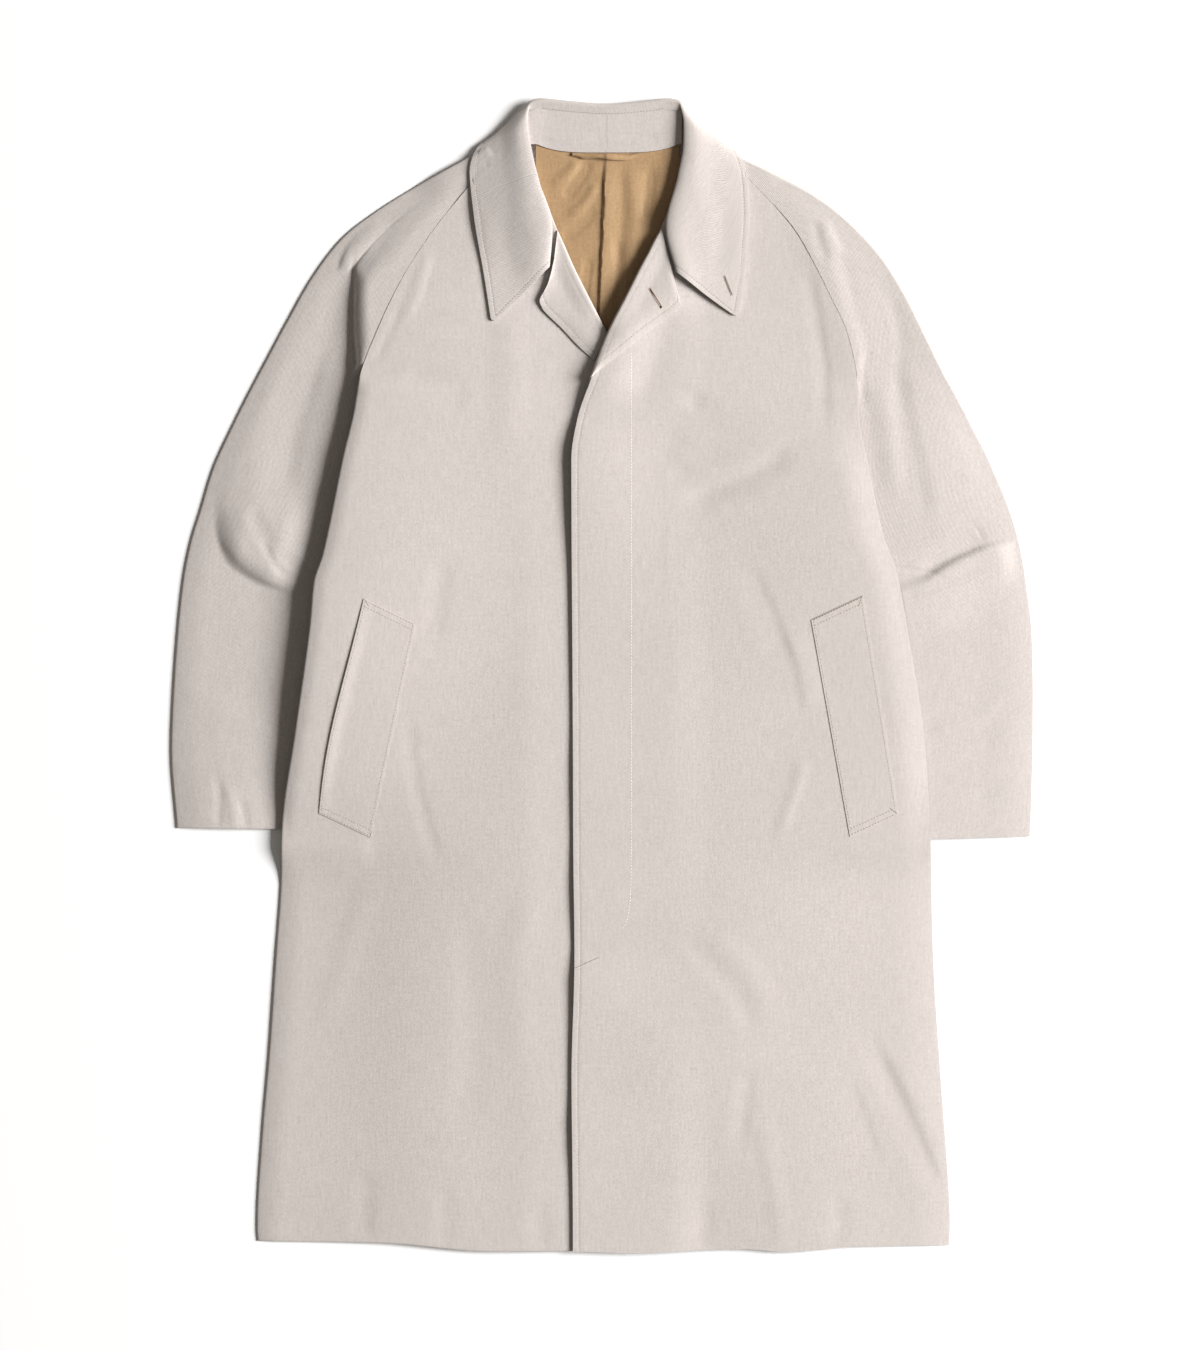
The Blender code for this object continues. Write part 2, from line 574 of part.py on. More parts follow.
def material(name, colour):
    made = bpy.data.materials.new(name)
    made.use_nodes = True
    shader = made.node_tree.nodes["Principled BSDF"]
    shader.inputs["Base Color"].default_value = colour
    shader.inputs["Roughness"].default_value = ROUGHNESS
    shader.inputs["Metallic"].default_value = 0.0
    return made


def grid_mesh(x, y, z):
    """A grid primitive whose points are moved to the given rows and columns."""
    rows, columns = x.shape
    mesh = bmesh.new()
    bmesh.ops.create_grid(mesh, x_segments=columns - 1, y_segments=rows - 1, size=1.0)
    for vertex in mesh.verts:
        col = round((vertex.co.x + 1.0) / 2.0 * (columns - 1))
        row = round((vertex.co.y + 1.0) / 2.0 * (rows - 1))
        vertex.co = Vector((x[row, col], y[row, col], z[row, col])) * MM
    bmesh.ops.triangulate(mesh, faces=mesh.faces, quad_method="FIXED")
    return mesh


def finish(mesh, name, colour, parts):
    data = bpy.data.meshes.new(name)
    mesh.to_mesh(data)
    mesh.free()
    data.materials.append(material(name + "_cloth", colour))
    data.shade_smooth()
    piece = bpy.data.objects.new(name, data)
    parts.objects.link(piece)
    return piece


def laid_sheet(name, x, y, z, thickness, parts, colour=SHELL_COLOUR):
    """Cloth that lies on what is below it: its underside is raised straight up by its thickness."""
    mesh = grid_mesh(x, y, z)
    lower = list(mesh.faces)
    raised = bmesh.ops.extrude_face_region(mesh, geom=lower, use_keep_orig=True)
    upper = [item for item in raised["geom"] if isinstance(item, bmesh.types.BMVert)]
    bmesh.ops.translate(mesh, verts=upper, vec=Vector((0.0, 0.0, thickness * MM)))
    bmesh.ops.recalc_face_normals(mesh, faces=mesh.faces)
    return finish(mesh, name, colour, parts)


def turned_sheet(name, x, y, z, thickness, parts, colour=SHELL_COLOUR):
    """Cloth that turns over on itself, thickened on its outer side."""
    mesh = grid_mesh(x, y, z)
    piece = finish(mesh, name, colour, parts)
    wall = piece.modifiers.new("wall", "SOLIDIFY")
    wall.thickness = thickness * MM
    wall.offset = 1.0
    return piece


def surface_trees(pieces):
    trees = []
    for piece in pieces:
        mesh = bmesh.new()
        mesh.from_mesh(piece.data)
        trees.append(BVHTree.FromBMesh(mesh))
        mesh.free()
    return trees


def top_of(pieces, x, y):
    """Height of the uppermost of the pieces at each point, or 0 beside them."""
    trees = surface_trees(pieces)
    heights = np.zeros(np.shape(x))
    for index in np.ndindex(np.shape(x)):
        for tree in trees:
            hit = tree.ray_cast(Vector((x[index] * MM, y[index] * MM, 1.0)), Vector((0, 0, -1)))[0]
            if hit is not None:
                heights[index] = max(heights[index], hit.z / MM)
    return heights


def make_back(parts):
    y = body_rows()
    x = back_columns(y)
    rows = np.repeat(y[:, None], x.shape[1], axis=1)
    z = back_under(x, rows)
    x[:, 0] += BACK_INSET
    x[:, -1] -= BACK_INSET
    shorter = BACK_HEM_INSET * (1.0 - smooth(*HEM_BLEND_Y, rows))
    return laid_sheet("back_panel", x, rows + hem_shift(x, rows) + shorter, z, CLOTH, parts)


def make_front(side, parts):
    name, under = {1: ("front_left", front_left_under), -1: ("front_right", front_right_under)}[side]
    y = body_rows()
    x = front_columns(side, y)
    rows = np.repeat(y[:, None], x.shape[1], axis=1)
    return laid_sheet(name, x, rows + hem_shift(x, rows), under(x, rows), CLOTH, parts)


def make_sleeve(side, parts):
    hand = "left" if side > 0 else "right"
    x, y, to_outer, past_fold = sleeve_grid(side)
    base = collar_lift(x, y)
    over = CLOTH + GAP + sleeve_puff(side, x, y, to_outer, past_fold)
    if side > 0:
        x, y, base, over = (grid[::-1] for grid in (x, y, base, over))
    back = laid_sheet("sleeve_back_" + hand, x, y, base, CLOTH, parts)
    front = laid_sheet("sleeve_front_" + hand, x, y, over, CLOTH, parts)
    return back, front


def make_lining(back, parts):
    """The part of the back lining that shows in the neck, with its centre pleat."""
    level = np.linspace(LINING_FOOT_Y, NECK_Y, LINING_ROWS)
    low = np.maximum(front_edge(-1, "inner", level) - LINING_TUCK, NECK_X - LINING_HALF)
    high = np.minimum(front_edge(1, "inner", level) + LINING_TUCK, NECK_X + LINING_HALF)
    share = np.linspace(0.0, 1.0, LINING_COLUMNS)
    x = low[:, None] + (high - low)[:, None] * share
    rise = (level - LINING_FOOT_Y) / (NECK_Y - LINING_FOOT_Y)
    y = LINING_FOOT_Y + rise[:, None] * (neck_line(x) - LINING_FOOT_Y)
    pleat = Fold(0, PLEAT_HEIGHT, PLEAT_WIDTH, [PLEAT_TOP, PLEAT_FOOT])
    z = back_under(x, y) + CLOTH + GAP + fold_height(x, y, pleat)
    z = np.maximum(z, top_of([back], x, y) + GAP)
    return laid_sheet("lining_back", x, y, z, LINING, parts, LINING_COLOUR)


def neck_line(x):
    """The neck seam, where the lining meets the collar stand."""
    return NECK_SEAM_Y + NECK_CURVE * np.clip(np.abs(x - NECK_X) / NECK_SPAN, 0.0, 1.0) ** 4


def make_stand(side, parts):
    """Half of the collar stand, from the neck seam up to the collar fold."""
    name = "collar_stand_left" if side > 0 else "collar_stand_right"
    reach = np.linspace(SEAM / 2, STAND_REACH[side], STAND_COLUMNS) * side
    x = np.repeat(np.sort(NECK_SEAM_X + reach)[None, :], STAND_ROWS, axis=0)
    up = np.linspace(0.0, 1.0, STAND_ROWS)[:, None]
    foot = neck_line(x) + SEAM
    crest = [station.crest for station in COLLAR_STATIONS if station.wrap > COLLAR_BEHIND]
    fold = through([point[0] for point in crest], [point[1] for point in crest], x)
    y = foot + up * (fold - COLLAR_INSIDE[0] - STAND_CLEAR - foot)
    z = STAND_FOOT_Z + np.repeat((STAND_HEAD_Z - STAND_FOOT_Z) * up, STAND_COLUMNS, axis=1)
    return laid_sheet(name, x, y, z, CLOTH, parts)


def make_loop(carriers, parts):
    """The hanger loop: a narrow strip over the neck seam, held at its ends."""
    x = np.repeat(np.linspace(LOOP_FROM_X, LOOP_TO_X, LOOP_COLUMNS)[None, :], LOOP_ROWS, axis=0)
    across = np.linspace(-0.5, 0.5, LOOP_ROWS)[:, None] * LOOP_WIDTH
    y = neck_line(x) - LOOP_DROP + across
    along = (x - LOOP_FROM_X) / (LOOP_TO_X - LOOP_FROM_X)
    z = top_of(carriers, x, y) + GAP + LOOP_RISE * np.sin(np.pi * along) ** 2
    return laid_sheet("hanger_loop", x, y, z, LINING, parts, LINING_COLOUR)


def make_facing(side, front, parts):
    """The turned-back top of a front edge, lying on its front from the roll line outwards."""
    name, table = {1: ("facing_left", LEFT_LAPEL), -1: ("facing_right", RIGHT_LAPEL)}[side]
    under = {1: front_left_under, -1: front_right_under}[side]
    count = len(table)
    station = np.linspace(0, count - 1, LAPEL_STEPS * (count - 1) + 1)
    fields = {f: through(range(count), column(table, f), station)[:, None] for f in LapelSection._fields}
    across = np.linspace(0.0, 1.0, LAPEL_COLUMNS)[None, :]
    roll_x = fields["roll_x"] + side * 2 * SEAM
    x = roll_x + across * (fields["edge_x"] - roll_x)
    y = fields["roll_y"] + across * (fields["edge_y"] - fields["roll_y"])
    resting = np.maximum(top_of([front], x, y), under(x, y) + CLOTH)
    rise = LAPEL_RISE[side] * smooth(LAPEL_RISE_TO[side], 0.0, station)[:, None] * smooth(0.1, 1.0, across)
    z = resting + GAP + LAPEL_CROWN * np.sin(np.pi * across) + rise
    if side < 0:
        x, y, z = x[::-1], y[::-1], z[::-1]
    return laid_sheet(name, x, y, z, CLOTH, parts)


def make_welt(side, front, parts):
    """A slanted pocket welt that lies on its front."""
    name, welt = {1: ("welt_left", LEFT_WELT), -1: ("welt_right", RIGHT_WELT)}[side]
    corners = [np.array(corner, float) for corner in welt]
    down = np.linspace(0.0, 1.0, WELT_ROWS)[:, None, None]
    across = np.linspace(0.0, 1.0, WELT_COLUMNS)[None, :, None]
    top = corners[0] + across * (corners[1] - corners[0])
    foot = corners[3] + across * (corners[2] - corners[3])
    points = top + down * (foot - top)
    x, y = points[..., 0], points[..., 1]
    return laid_sheet(name, x, y, top_of([front], x, y) + 2 * GAP, CLOTH, parts)


def collar_section(station):
    """Five points across the collar: seam, crest, over the fold, along the fall, outer edge."""
    crest, reach, edge = (np.array(point, float) for point in (station.crest, station.reach, station.edge))
    up = np.array([0.0, 0.0, 1.0])
    radial = np.array([crest[0] - NECK_X, NECK_FLATNESS * (crest[1] - NECK_CENTRE_Y), 0.0])
    behind = np.array([0.0, 1.0, 0.0])
    out = (1.0 - station.wrap) * radial / np.linalg.norm(radial) + station.wrap * behind
    out = out / np.linalg.norm(out)
    under = crest + COLLAR_TUCK[0] * out - COLLAR_TUCK[1] * up
    inside = crest - COLLAR_INSIDE[0] * out - COLLAR_INSIDE[1] * up
    seam = under + smooth(*COLLAR_TURN_IN, station.wrap) * (inside - under)
    on_top = crest + COLLAR_CROWN_SHARE * (reach - crest) + COLLAR_CROWN * up
    round_back = crest + COLLAR_FOLD_OUT * out - COLLAR_FOLD_SHARE * (crest[2] - reach[2]) * up
    turn = on_top + smooth(*COLLAR_TURN_BACK, station.wrap) * (round_back - on_top)
    return np.stack([seam, crest, turn, reach, edge])


def make_collar(carriers, parts):
    """The collar fall in one piece: leaf, roll round the neck, and leaf."""
    sections = np.stack([collar_section(station) for station in COLLAR_STATIONS])
    count = len(COLLAR_STATIONS)
    station = np.linspace(0, count - 1, COLLAR_STEPS * (count - 1) + 1)
    along = np.stack(
        [[through(range(count), sections[:, k, axis], station) for axis in range(3)] for k in range(5)]
    )
    across = np.linspace(0.0, 1.0, COLLAR_COLUMNS)
    grid = np.empty((3, len(station), COLLAR_COLUMNS))
    for axis in range(3):
        for row in range(len(station)):
            grid[axis, row] = through(COLLAR_SHARES, along[:, axis, row], across)
    x, y, z = grid
    wrap = through(range(count), column(COLLAR_STATIONS, "wrap"), station)[:, None]
    resting = top_of(carriers, x, y) + GAP + COLLAR * smooth(*COLLAR_UNDER_ROLL, across)
    z = np.where(wrap < COLLAR_ON_COAT, np.maximum(z, resting), np.maximum(z, COLLAR))
    return turned_sheet("collar_fall", x[:, ::-1], y[:, ::-1], z[:, ::-1], COLLAR, parts)


def main():
    for old in list(bpy.data.objects):
        bpy.data.objects.remove(old)
    parts = bpy.data.collections.new("gabardine_coat")
    bpy.context.scene.collection.children.link(parts)
    back = make_back(parts)
    sleeves = make_sleeve(1, parts) + make_sleeve(-1, parts)
    front_right = make_front(-1, parts)
    front_left = make_front(1, parts)
    lining = make_lining(back, parts)
    stands = [make_stand(side, parts) for side in (1, -1)]
    make_loop([lining] + stands, parts)
    facings = [make_facing(1, front_left, parts), make_facing(-1, front_right, parts)]
    make_welt(1, front_left, parts)
    make_welt(-1, front_right, parts)
    make_collar([front_left, front_right, *sleeves, *facings], parts)


main()
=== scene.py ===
"""The looks of a gabardine raglan coat that lies on its back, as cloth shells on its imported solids.

Frame: X to the wearer's left, Y from hem to collar, Z up from the surface it lies on.
Tables and sizes are in millimetres, and the meshes are written in metres.
Left and right are the wearer's, so the wearer's left lies on the right of the picture.
"""
import math
from collections import namedtuple

import bpy
import numpy as np
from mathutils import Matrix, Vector, noise
from mathutils.bvhtree import BVHTree


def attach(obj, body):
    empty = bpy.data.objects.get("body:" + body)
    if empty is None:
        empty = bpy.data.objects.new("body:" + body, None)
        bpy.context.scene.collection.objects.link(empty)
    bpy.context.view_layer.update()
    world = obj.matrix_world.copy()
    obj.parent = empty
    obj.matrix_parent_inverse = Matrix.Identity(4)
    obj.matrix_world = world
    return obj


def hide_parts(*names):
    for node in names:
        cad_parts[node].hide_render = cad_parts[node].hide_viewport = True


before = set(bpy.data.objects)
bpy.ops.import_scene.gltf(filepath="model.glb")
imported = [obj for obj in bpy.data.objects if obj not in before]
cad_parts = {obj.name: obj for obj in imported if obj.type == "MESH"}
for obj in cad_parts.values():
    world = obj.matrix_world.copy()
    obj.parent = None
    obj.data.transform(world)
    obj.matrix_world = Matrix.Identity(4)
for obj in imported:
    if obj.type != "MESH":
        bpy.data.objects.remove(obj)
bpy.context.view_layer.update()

MM = 0.001
RAY_FROM = 1.0
SIDES = {1: "left", -1: "right"}


def named(kind, table):
    """Gives the values in each row of a table the names of its columns."""
    return [kind(*row) for row in table]


# Cloth and the way it is stacked: room for each layer as in the solids, and the thinner sheets drawn
CLOTH = 1.5
SHEET = 1.0
LINING = 1.0
COLLAR = 2.0
COLLAR_SHEET = 1.3
GAP = 0.35
SEAM = 0.3
ON_FLOOR = 0.1
SIDE_GAP = 0.4
SLEEVE_STACK = 2 * CLOTH + 3 * GAP
SOFT_CHANGE = 1.5
SHARP_CHANGE = 0.3
COLLAR_LIFT = COLLAR + 2 * GAP

# Levels along the coat
HEM_Y = -546.0
ARMPIT_Y = 283.0
NECK_Y = 493.0
CUFF_Y = -152.0
NECK_X = 5.0

# Edges and looseness of the body; a pair gives where a change begins and where it is complete
EDGE_PUFF = {1: 3.0, -1: 2.0}
EDGE_ROLL = {1: 30.0, -1: 14.0}
FREE_EDGE_Y = {1: (ARMPIT_Y, 170.0), -1: (ARMPIT_Y, 267.0)}
SIDE_ROUND = {1: 36.0, -1: 24.0}
SIDE_RUN = 200.0
SIDE_RISE_WIDTH = 26.0
BODY_PUFF_KEYS = (-546.0, -330.0, -170.0, -20.0, 240.0, 400.0, 493.0)
BODY_PUFF = (2.0, 4.0, 6.4, 9.8, 9.2, 6.2, 5.0)
SIDE_PUFF_KEYS = (-546, -240, -180, -150, -70, 30, 220, 283, 330, 375, 415, 450, 493)
SIDE_PUFF = {
    1: (0.0, 0.6, 2.2, 3.4, 6.4, 8.6, 8.6, 7.2, 6.2, 5.2, 4.2, 3.0, 2.2),
    -1: (0.0, 0.0, 0.0, 2.6, 11.0, 14.4, 13.6, 12.6, 11.4, 9.0, 4.4, 2.8, 2.0),
}
HEM_BLEND_Y = (HEM_Y, HEM_Y + 150.0)
BACK_INSET = 6.0
BACK_HEM_INSET = 3.0

# The back lies over the collar at the neck and over the sleeves at the sides
COLLAR_LIFT_Y = (425.0, 462.0)
COLLAR_LIFT_X = (190.0, 150.0)
SLEEVE_LIFT_FROM_UNDERARM = (-50.0, -18.0)
SLEEVE_LIFT_TOP_Y = (ARMPIT_Y, ARMPIT_Y - 21.0)
SLEEVE_LIFT_FOOT_Y = (CUFF_Y - 50.0, CUFF_Y - 6.0)

# The left front laps over the right one, and both turn back above the crossing
LAP_SINK_X = (-78.0, -34.0)
LAP_SINK = 1.0
LAP_SINK_PUFF = 4.0
RIGHT_LAP_TOP_Y = (400.0, 320.0)
LEFT_LAP_TOP_Y = (400.0, 345.0)
LEFT_LAP_END_X = (105.0, 62.0)
RIGHT_EDGE_X = 50.0
ROLL_WIDTH = 22.0
ROLL_RISE = 2.4
ROLL_START_Y = {1: (318.0, 350.0), -1: (322.0, 362.0)}
ROLL_END_Y = (440.0, 408.0)
CROSSING_RISE = 4.2
CROSSING_FOOT_Y = (245.0, 285.0)
CROSSING_TOP_Y = (365.0, 325.0)
CROSSING_FROM_EDGE = (16.0, 60.0)
EDGE_RISE_KEYS = (-546, -490, -432, -385, -330, -292, -255, -205, -150, -95, -40, 30, 90, 165, 215, 250, 300)
EDGE_RISE = (0.5, 0.7, 1.7, 0.8, 1.2, 2.0, 0.6, 1.3, 0.5, 0.9, 0.4, 0.8, 1.2, 3.4, 4.2, 2.4, 0.0)
EDGE_RISE_WIDTH = 110.0

# Looseness of the sleeves
SLEEVE_PUFF_KEYS = (-152, 30, 58, 92, 138, 172, 230, 300, 375, 415, 493)
SLEEVE_PUFF = {
    1: (2.2, 2.4, 2.5, 2.7, 3.0, 3.4, 4.0, 5.4, 4.8, 3.8, 2.2),
    -1: (1.4, 0.9, 0.9, 5.4, 5.4, 2.8, 1.2, 0.4, 0.4, 2.2, 2.0),
}
HIDDEN_PUFF_KEYS = (-152.0, 30.0, 150.0, 283.0)
HIDDEN_PUFF = {1: (0.8, 1.6, 2.6, 3.2), -1: (0.4, 0.4, 1.2, 1.6)}
SLEEVE_ROUND = {1: 36.0, -1: 26.0}
SLEEVE_RUN = {1: 120.0, -1: 52.0}
SLEEVE_RUN_SHARE = 0.8
SLEEVE_RELIEF_RUN = 24.0
SLEEVE_SEAM_Y = {1: (ARMPIT_Y - 16.0, ARMPIT_Y), -1: (ARMPIT_Y - 4.0, ARMPIT_Y + 14.0)}
SHOULDER_FADE_Y = {1: (ARMPIT_Y - 50.0, ARMPIT_Y + 50.0), -1: (ARMPIT_Y - 4.0, ARMPIT_Y + 14.0)}
SHOULDER_STEP = (-4.0, 40.0)
SHOULDER_ROLL = (18.0, 2.0)
SHOULDER_KEEP = {1: 0.9, -1: 0.0}
SHOULDER_KEEP_Y = (ARMPIT_Y - 80.0, ARMPIT_Y + 20.0)
SHOULDER_WALL = 2.5
SLEEVE_PUFF_RUN = {1: (-12.0, -6.0), -1: (4.0, 46.0)}
SLEEVE_FOLD_RUN = {1: (-12.0, -6.0), -1: (-7.0, 0.0)}
SLEEVE_LEAST_PUFF = 0.15
CLEAR_OF_BODY = {1: 6.0, -1: 1.0}
SEAM_SHOWN = 0.4

# Across each front, from the hem to the neck: its inner and outer edges
FrontSection = namedtuple("FrontSection", "y inner outer")
FRONTS = {1: named(FrontSection, [
    (-546, -28, 330),
    (-527, -28, 331),
    (-464, -28.5, 328),
    (-382, -29.3, 322),
    (-268, -26.5, 315),
    (-158, -27.7, 312),
    (-62, -28, 306),
    (30, -28.5, 292),
    (100, -29, 279),
    (132, -29.2, 267),
    (205, -29.4, 251.5),
    (242, -24, 244),
    (283, -10, 241.6),
    (325, 4.5, 232.5),
    (360, 22, 216.5),
    (401, 43, 196),
    (426, 56, 181),
    (469, 72, 142),
    (493, 84, 117),
]), -1: named(FrontSection, [
    (-546, 60, -328),
    (-533, 60, -329),
    (-437, 60, -324),
    (-355, 60, -317),
    (-274, 60, -311.5),
    (-194, 60, -306),
    (-143, 60, -304.5),
    (-57, 60, -292),
    (50, 60, -277),
    (88, 60, -273.6),
    (115, 60, -265),
    (211, 59, -245),
    (248, 47, -236),
    (283, 27, -230),
    (326, 4.5, -214),
    (376, -22, -190.5),
    (424, -43, -160),
    (467, -60, -125),
    (493, -80, -102),
])}

HemPoint = namedtuple("HemPoint", "x y")
HEM = named(HemPoint, [
    (-329, -538),
    (-208, -540),
    (-104, -548),
    (-29, -547.5),
    (28, -549),
    (134, -545.5),
    (175, -548),
    (246, -543),
    (331, -542),
])

# Across each raglan sleeve: the seam end and the outer silhouette, from the neck to the armpit
RaglanSection = namedtuple("RaglanSection", "seam_y outer_x outer_y")
RAGLANS = {1: named(RaglanSection, [
    (493, 124, 496),
    (469, 154, 482),
    (434, 201, 458),
    (401, 232, 435),
    (360, 267, 398),
    (328.5, 289, 363),
    (308, 305, 331),
    (283, 320, 300),
]), -1: named(RaglanSection, [
    (493, -110, 502),
    (463.5, -140, 486),
    (434, -180, 464),
    (405, -215, 442),
    (373, -246, 418),
    (343, -275, 381),
    (302, -303, 332),
    (283, -319, 302),
])}

# Below the armpit: the underarm edge, which lies under the body, and the outer silhouette
SleeveSection = namedtuple("SleeveSection", "inner_x inner_y outer_x outer_y")
SLEEVES = {1: named(SleeveSection, [
    (239.5, 270, 327, 286),
    (237, 257, 336, 270),
    (235, 236, 350, 243),
    (234, 196, 372, 195),
    (236, 160, 386, 161),
    (241, 125, 397, 124),
    (247, 90, 403, 89),
    (252, 35, 409, 35),
    (256, -25, 410, -25.5),
    (256, -98, 409, -98),
    (254, -157, 407, -153),
]), -1: named(SleeveSection, [
    (-229, 270, -327, 287),
    (-227.5, 257, -338, 266),
    (-226, 236, -350, 242),
    (-224, 196, -371, 196),
    (-226, 160, -382, 160),
    (-232, 125, -392.5, 125),
    (-238, 92, -399, 92),
    (-244, 47, -404, 47),
    (-249, -25, -409, -25),
    (-250, -69, -410.5, -69),
    (-248, -147, -405, -145),
])}
SLEEVE_FOLD_SHARE = (0.06, 0.6)
SHOULDER_FOLD_X = {1: 244.0, -1: -232.0}
SHOULDER_FOLD_LEAN = {1: 0.0, -1: -3.0}
SHOULDER_FOLD_LEAN_Y = (ARMPIT_Y + 5.0, ARMPIT_Y + 40.0)
SHOULDER_FOLD_Y = (ARMPIT_Y - 13.0, ARMPIT_Y)

# Turned-back tops of the front edges, from the collar seam down to where the fronts cross
LapelSection = namedtuple("LapelSection", "roll_x roll_y edge_x edge_y")
LAPELS = {1: named(LapelSection, [
    (57, 425, 66.5, 384.5),
    (50.5, 414, 70, 368),
    (44.5, 402, 74.5, 352.5),
    (38.5, 391, 70, 346.5),
    (22.5, 359, 45, 328),
    (5.5, 325, 18, 306),
    (-6, 296, -1, 291),
    (-11.5, 281, -9, 284),
]), -1: named(LapelSection, [
    (-43.5, 423, -46, 391),
    (-38, 411, -53, 368),
    (-32, 397, -59.5, 356),
    (-28, 388, -57, 348.5),
    (-14.5, 361, -38, 329),
    (-2, 337, -22, 312),
    (4, 325.5, -7.5, 299),
])}
LAPEL_CROWN = 1.2
LAPEL_RISE = {1: 1.0, -1: 3.2}
LAPEL_RISE_TO = {1: 7.0, -1: 4.5}
LAPEL_RISE_ACROSS = (0.1, 1.0)

# The collar from the right leaf's end, round the back of the neck, to the left leaf's end.
# Wrap is 0 where the fall lies on the front and 1 where it is folded behind the neck.
CollarStation = namedtuple("CollarStation", "crest reach edge wrap")
COLLAR_STATIONS = named(CollarStation, [
    ((-50, 388, 12.4), (-77.5, 359.5, 11.8), (-105, 333, 9.2), 0),
    ((-47.5, 424.5, 13.8), (-79, 401, 12.4), (-112, 378, 9.2), 0),
    ((-59.5, 467, 13.8), (-91, 452, 11.4), (-122, 437, 8.2), 0),
    ((-66, 494, 12), (-97, 487, 8.8), (-126, 479, 5.4), 0),
    ((-70.5, 520, 9.4), (-97, 512, 5.4), (-118, 503, 2.5), 0.4),
    ((-71, 532, 8.4), (-95, 519, 4), (-113, 506, 2.1), 0.7),
    ((-69, 541.5, 8.4), (-85, 529, 2.8), (-106, 482, 2), 0.9),
    ((-57, 544.5, 8.6), (-63, 537, 2.2), (-70, 481, 2), 1),
    ((4.5, 539.5, 8.8), (4.5, 533, 2.2), (4.5, 480, 2), 1),
    ((60, 544.5, 9.2), (66, 537, 2.2), (76, 481, 2), 1),
    ((73, 543, 10), (89, 530, 3), (114, 482, 2), 0.9),
    ((76, 535, 11.2), (99, 519, 5.4), (117, 504, 2.1), 0.7),
    ((77.5, 524, 12.2), (104, 513, 8.2), (126, 499, 3.8), 0.4),
    ((77, 503, 12.6), (108, 495, 10), (136, 481, 6.6), 0),
    ((71.5, 473, 12.8), (106, 456, 11), (140, 441, 8.4), 0),
    ((60.5, 425.5, 13.6), (97, 399, 12), (135, 374, 9.4), 0),
    ((70, 383, 14.2), (98, 361, 12.4), (129, 339, 9.4), 0),
])
# Places of the five points across the collar, and how far the seam lies out or in and down from the crest
COLLAR_SHARES = (0.0, 0.12, 0.3, 0.6, 1.0)
COLLAR_TUCK = (6.0, 7.5)
COLLAR_INSIDE = (7.0, 1.5)
COLLAR_TURN_IN = (0.6, 0.95)
COLLAR_TURN_BACK = (0.5, 1.0)
COLLAR_CROWN = 1.2
COLLAR_CROWN_SHARE = 0.3
COLLAR_FOLD_OUT = 3.0
COLLAR_FOLD_SHARE = 0.42
COLLAR_ON_COAT = 0.45
COLLAR_SETTLE = 1.6
COLLAR_BEHIND = 0.85
COLLAR_UNDER_ROLL = (0.22, 0.05)
NECK_CENTRE_Y = 470.0
NECK_FLATNESS = 0.35

# Inside of the neck
STAND_REACH = {1: 71.0, -1: 76.0}
STAND_FOOT_Z = 5.4
STAND_HEAD_Z = 5.7
STAND_CURL = {1: 0.3, -1: 0.8}
STAND_CURL_WIDTH = 22.0
STAND_TUCK = 2.0
STAND_SEAM = 0.08
NECK_SEAM_X = 4.5
NECK_SEAM_Y = 496.7
NECK_CURVE = 8.0
NECK_SPAN = 67.0
NECK_CURVE_POWER = 4
LINING_FOOT_Y = 302.0
LINING_TUCK = 14.0
LINING_HALF = 68.0
LOOP_FROM_X = -28.5
LOOP_TO_X = 34.0
LOOP_WIDTH = 5.4
LOOP_SHEET = 0.8
LOOP_DROP = 3.9
LOOP_RISE = 2.0

# The four corners of each pocket welt
Welt = namedtuple("Welt", "top_inner top_outer foot_outer foot_inner")
WELTS = {
    1: Welt((198, 53), (247, 76), (281, -132), (235, -153)),
    -1: Welt((-177, 49), (-226, 73), (-269, -131), (-220, -154)),
}

# Creases of each sheet: a ridge where height is positive and a trough where it is negative.
# Left and right are how far it reaches on each side of its path, seen along the path;
# a pair gives the reach at its start and at its end. A roll is steepest at its line, on its left side.
Crease = namedtuple("Crease", "height left right path roll", defaults=(False,))
# The fold across the left sleeve's seam
LEFT_SHOULDER_FOLD = (1.0, 16, 34, [(196, 440), (214, 395), (228, 345), (240, 300), (246, 262)])
CREASES = {}
# Right sleeve: the deep fold at the shoulder, the valleys beside it and the bent elbow
CREASES["sleeve_front_right"] = named(Crease, [
    (-1.2, 3, 5, [(-236, 402), (-239, 362), (-239, 322), (-240, 280)]),
    (2.2, 26, 6, [(-218, 446), (-232, 420), (-243, 402), (-250, 380)]),
    (0.8, 12, 34, [(-246, 320), (-256, 270), (-264, 210), (-272, 160)]),
    (-0.9, 18, 36, [(-252, 380), (-266, 330), (-282, 280), (-298, 215), (-305, 160)]),
    (-6.0, (36, 20), 130, [
        (-436, 224), (-410, 184), (-391, 152), (-379, 128), (-360, 105), (-340, 92), (-320, 81),
        (-294, 69), (-268, 62), (-225, 54)], True),
    (-0.5, 5, 16, [(-384, 158), (-373, 136), (-358, 117), (-342, 99), (-320, 86), (-292, 73)]),
    (-0.4, 10, 7, [(-315, 115), (-304, 110), (-292, 105), (-272, 99), (-256, 94)]),
    (-0.5, 6, 6, [(-322, 128), (-317, 116), (-312, 107), (-302, 98), (-296, 100)]),
    (-0.6, 14, 12, [(-336, 160), (-324, 136), (-313, 118)]),
    (-0.5, 6, 8, [(-366, -94), (-364, -118), (-365, -147)]),
    (0.4, 9, 7, [(-356, -104), (-352, -126), (-350, -147)]),
    (-0.4, 7, 6, [(-344, -118), (-340, -134), (-339, -147)]),
])
